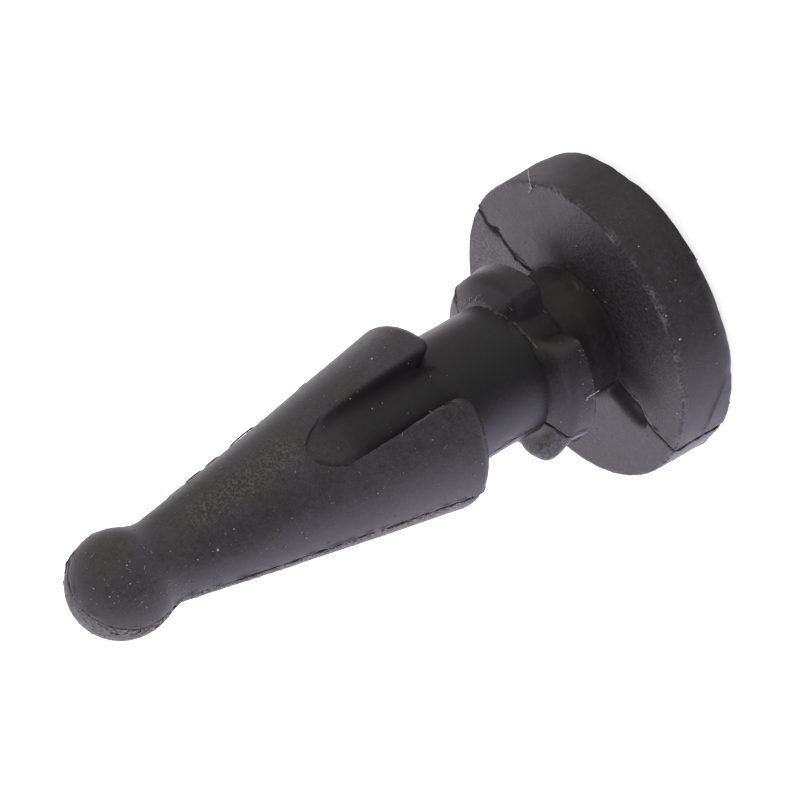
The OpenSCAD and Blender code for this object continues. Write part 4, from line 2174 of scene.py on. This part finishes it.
@dataclass
class Studio:
    """White floor, soft light from behind and the camera of the photograph.

    Attributes:
        aim: the point that the camera looks at.
        elevation: its angle above the floor.
        roll: how far it is turned about its line of sight.
        sweep_at: direction of the middle of the pale sweep.
        sweep: how the sweep starts, over the share of a direction along its middle.
        side: how its two ends run into each other, over the share of a direction along X.
        sweep_colours: light of the sweep on the side of -X and on the side of +X.
        window_at: direction of the brighter part of the room.
        window: how that part starts, over the share of a direction along its middle.
        floor_margin: width of the floor's outer ring, as a share of the size.
        floor_gap: how far the floor's middle lies below the rivet.
        floor_glow: light that the floor gives to the camera.
    """

    aim: tuple[float, float, float] = (1.755, 3.372, 6.66)
    azimuth: float = -106.5
    elevation: float = 29.26
    roll: float = 119.2
    distance: float = 222.2
    lens: float = 325.3
    sensor: float = 36.0
    sweep_at: tuple[float, float, float] = (-0.3, 0.944, -0.136)
    sweep: Ramp = Ramp(-0.15, 0.35)
    side: Ramp = Ramp(-0.3, 0.6)
    sweep_colours: tuple[Colour, Colour] = ((1.5, 1.43, 1.74), (1.6, 1.49, 1.63))
    room: Colour = (0.25, 0.243, 0.245)
    window_at: tuple[float, float, float] = (0.7, -0.68, 0.22)
    window: Ramp = Ramp(0.15, 1.0)
    window_share: float = 0.55
    window_colour: Colour = (1.0, 0.965, 0.93)
    floor_size: float = 3000.0
    floor_margin: float = 0.4
    floor_gap: float = 0.02
    floor_colour: Colour = (0.8, 0.8, 0.8)
    floor_glow: float = 0.8

    def axes(self) -> tuple[Vector, Vector, Vector]:
        """Works out how the camera is held.

        Returns:
            The directions to its right, to its top and to its back.
        """
        turn = math.radians(self.azimuth)
        rise = math.radians(self.elevation)
        back = Vector((math.cos(rise) * math.cos(turn), math.cos(rise) * math.sin(turn), math.sin(rise)))
        level = back.cross(Vector((0.0, 0.0, -1.0))).normalized()
        upright = back.cross(level)
        roll = math.radians(self.roll)
        up = (math.cos(roll) * upright + math.sin(roll) * level).normalized()
        return up.cross(back), up, back

    def camera(self) -> None:
        """Sets the camera up at the photograph's viewing angle."""
        right, up, back = self.axes()
        eye = (Vector(self.aim) + self.distance * back) * MM
        data = bpy.data.cameras.new("camera")
        data.lens = self.lens
        data.sensor_width = self.sensor
        data.sensor_fit = "HORIZONTAL"
        data.clip_start = 0.01
        data.clip_end = 20.0
        camera = bpy.data.objects.new("camera", data)
        bpy.context.scene.collection.objects.link(camera)
        hold = Matrix((right, up, back)).transposed().to_4x4()
        camera.matrix_world = Matrix.Translation(eye) @ hold
        bpy.context.scene.camera = camera

    def light(self) -> None:
        """Lights the scene: a pale sweep on the far side, and a dim room behind the camera."""
        world = bpy.data.worlds.new("studio")
        bpy.context.scene.world = world
        world.use_nodes = True
        bench = NodeBench(world.node_tree)
        direction = bench.node("ShaderNodeTexCoord", {}, {}).outputs["Generated"]
        sweep = bench.dot(direction, Vector(self.sweep_at).normalized())
        side = bench.dot(direction, (1.0, 0.0, 0.0))
        window = bench.dot(direction, Vector(self.window_at).normalized())
        pale = bench.mix(side.rise(self.side.start, self.side.end), *self.sweep_colours)
        tone = bench.mix(sweep.rise(self.sweep.start, self.sweep.end), self.room, pale)
        share = window.rise(self.window.start, self.window.end) * self.window_share
        tone = bench.mix(share, tone, self.window_colour)
        background = bench.node("ShaderNodeBackground", {}, {"Color": tone, "Strength": 1.0})
        bench.node("ShaderNodeOutputWorld", {}, {"Surface": background.outputs["Background"]})

    def floor(self) -> None:
        """Lays the pale floor, which is white to the camera where no shadow falls."""
        size = self.floor_size * MM
        bpy.ops.object.select_all(action="DESELECT")
        bpy.ops.mesh.primitive_plane_add(size=size, location=(0.0, 0.0, 0.0))
        floor = bpy.context.object
        floor.name = "floor"
        bpy.ops.object.mode_set(mode="EDIT")
        bpy.ops.mesh.select_all(action="SELECT")
        bpy.ops.mesh.inset(thickness=self.floor_margin * size)
        bpy.ops.transform.translate(value=(0.0, 0.0, -self.floor_gap * MM))
        bpy.ops.object.mode_set(mode="OBJECT")
        floor.data.materials.append(self.floor_finish())
        floor.visible_glossy = False

    def floor_finish(self) -> bpy.types.Material:
        """Builds the floor's material, which glows for rays that come straight from the camera.

        Returns:
            The material.
        """
        material = bpy.data.materials.new("pale_floor")
        material.use_nodes = True
        bench = NodeBench(material.node_tree)
        plain = bench.node("ShaderNodeBsdfDiffuse", {}, {"Color": opaque(self.floor_colour)})
        paths = bench.node("ShaderNodeLightPath", {}, {})
        seen = Value(bench, paths.outputs["Is Camera Ray"])
        for ray in ("Is Glossy Ray", "Is Transmission Ray"):
            seen = seen.at_least(Value(bench, paths.outputs[ray]))
        white = {"Color": opaque((1.0, 1.0, 1.0)), "Strength": seen * self.floor_glow}
        glow = bench.node("ShaderNodeEmission", {}, white)
        both = bench.node("ShaderNodeAddShader", {}, {0: plain.outputs[0], 1: glow.outputs[0]})
        bench.node("ShaderNodeOutputMaterial", {}, {"Surface": both.outputs[0]})
        return material

    def build(self) -> None:
        """Sets up the camera, the light and the floor."""
        scene = bpy.context.scene
        scene.view_settings.view_transform = "Standard"
        self.camera()
        self.light()
        self.floor()
        log.info("studio: camera, light and floor")


def main() -> None:
    """Builds the rivet and its studio."""
    logging.basicConfig(level=logging.INFO, format="%(name)s %(message)s")
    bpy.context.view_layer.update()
    low, high = (Vector(corner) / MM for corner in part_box(NODE))
    Studio().build()
    rubber = RubberFinish().make()
    moulding = Moulding(head_r=0.5 * (high.x - low.x), length=high.z)
    carrier = moulding.build(rubber)
    Flash(moulding).build(rubber)
    Dirt(moulding, carrier).build()


if __name__ == "__main__":
    main()
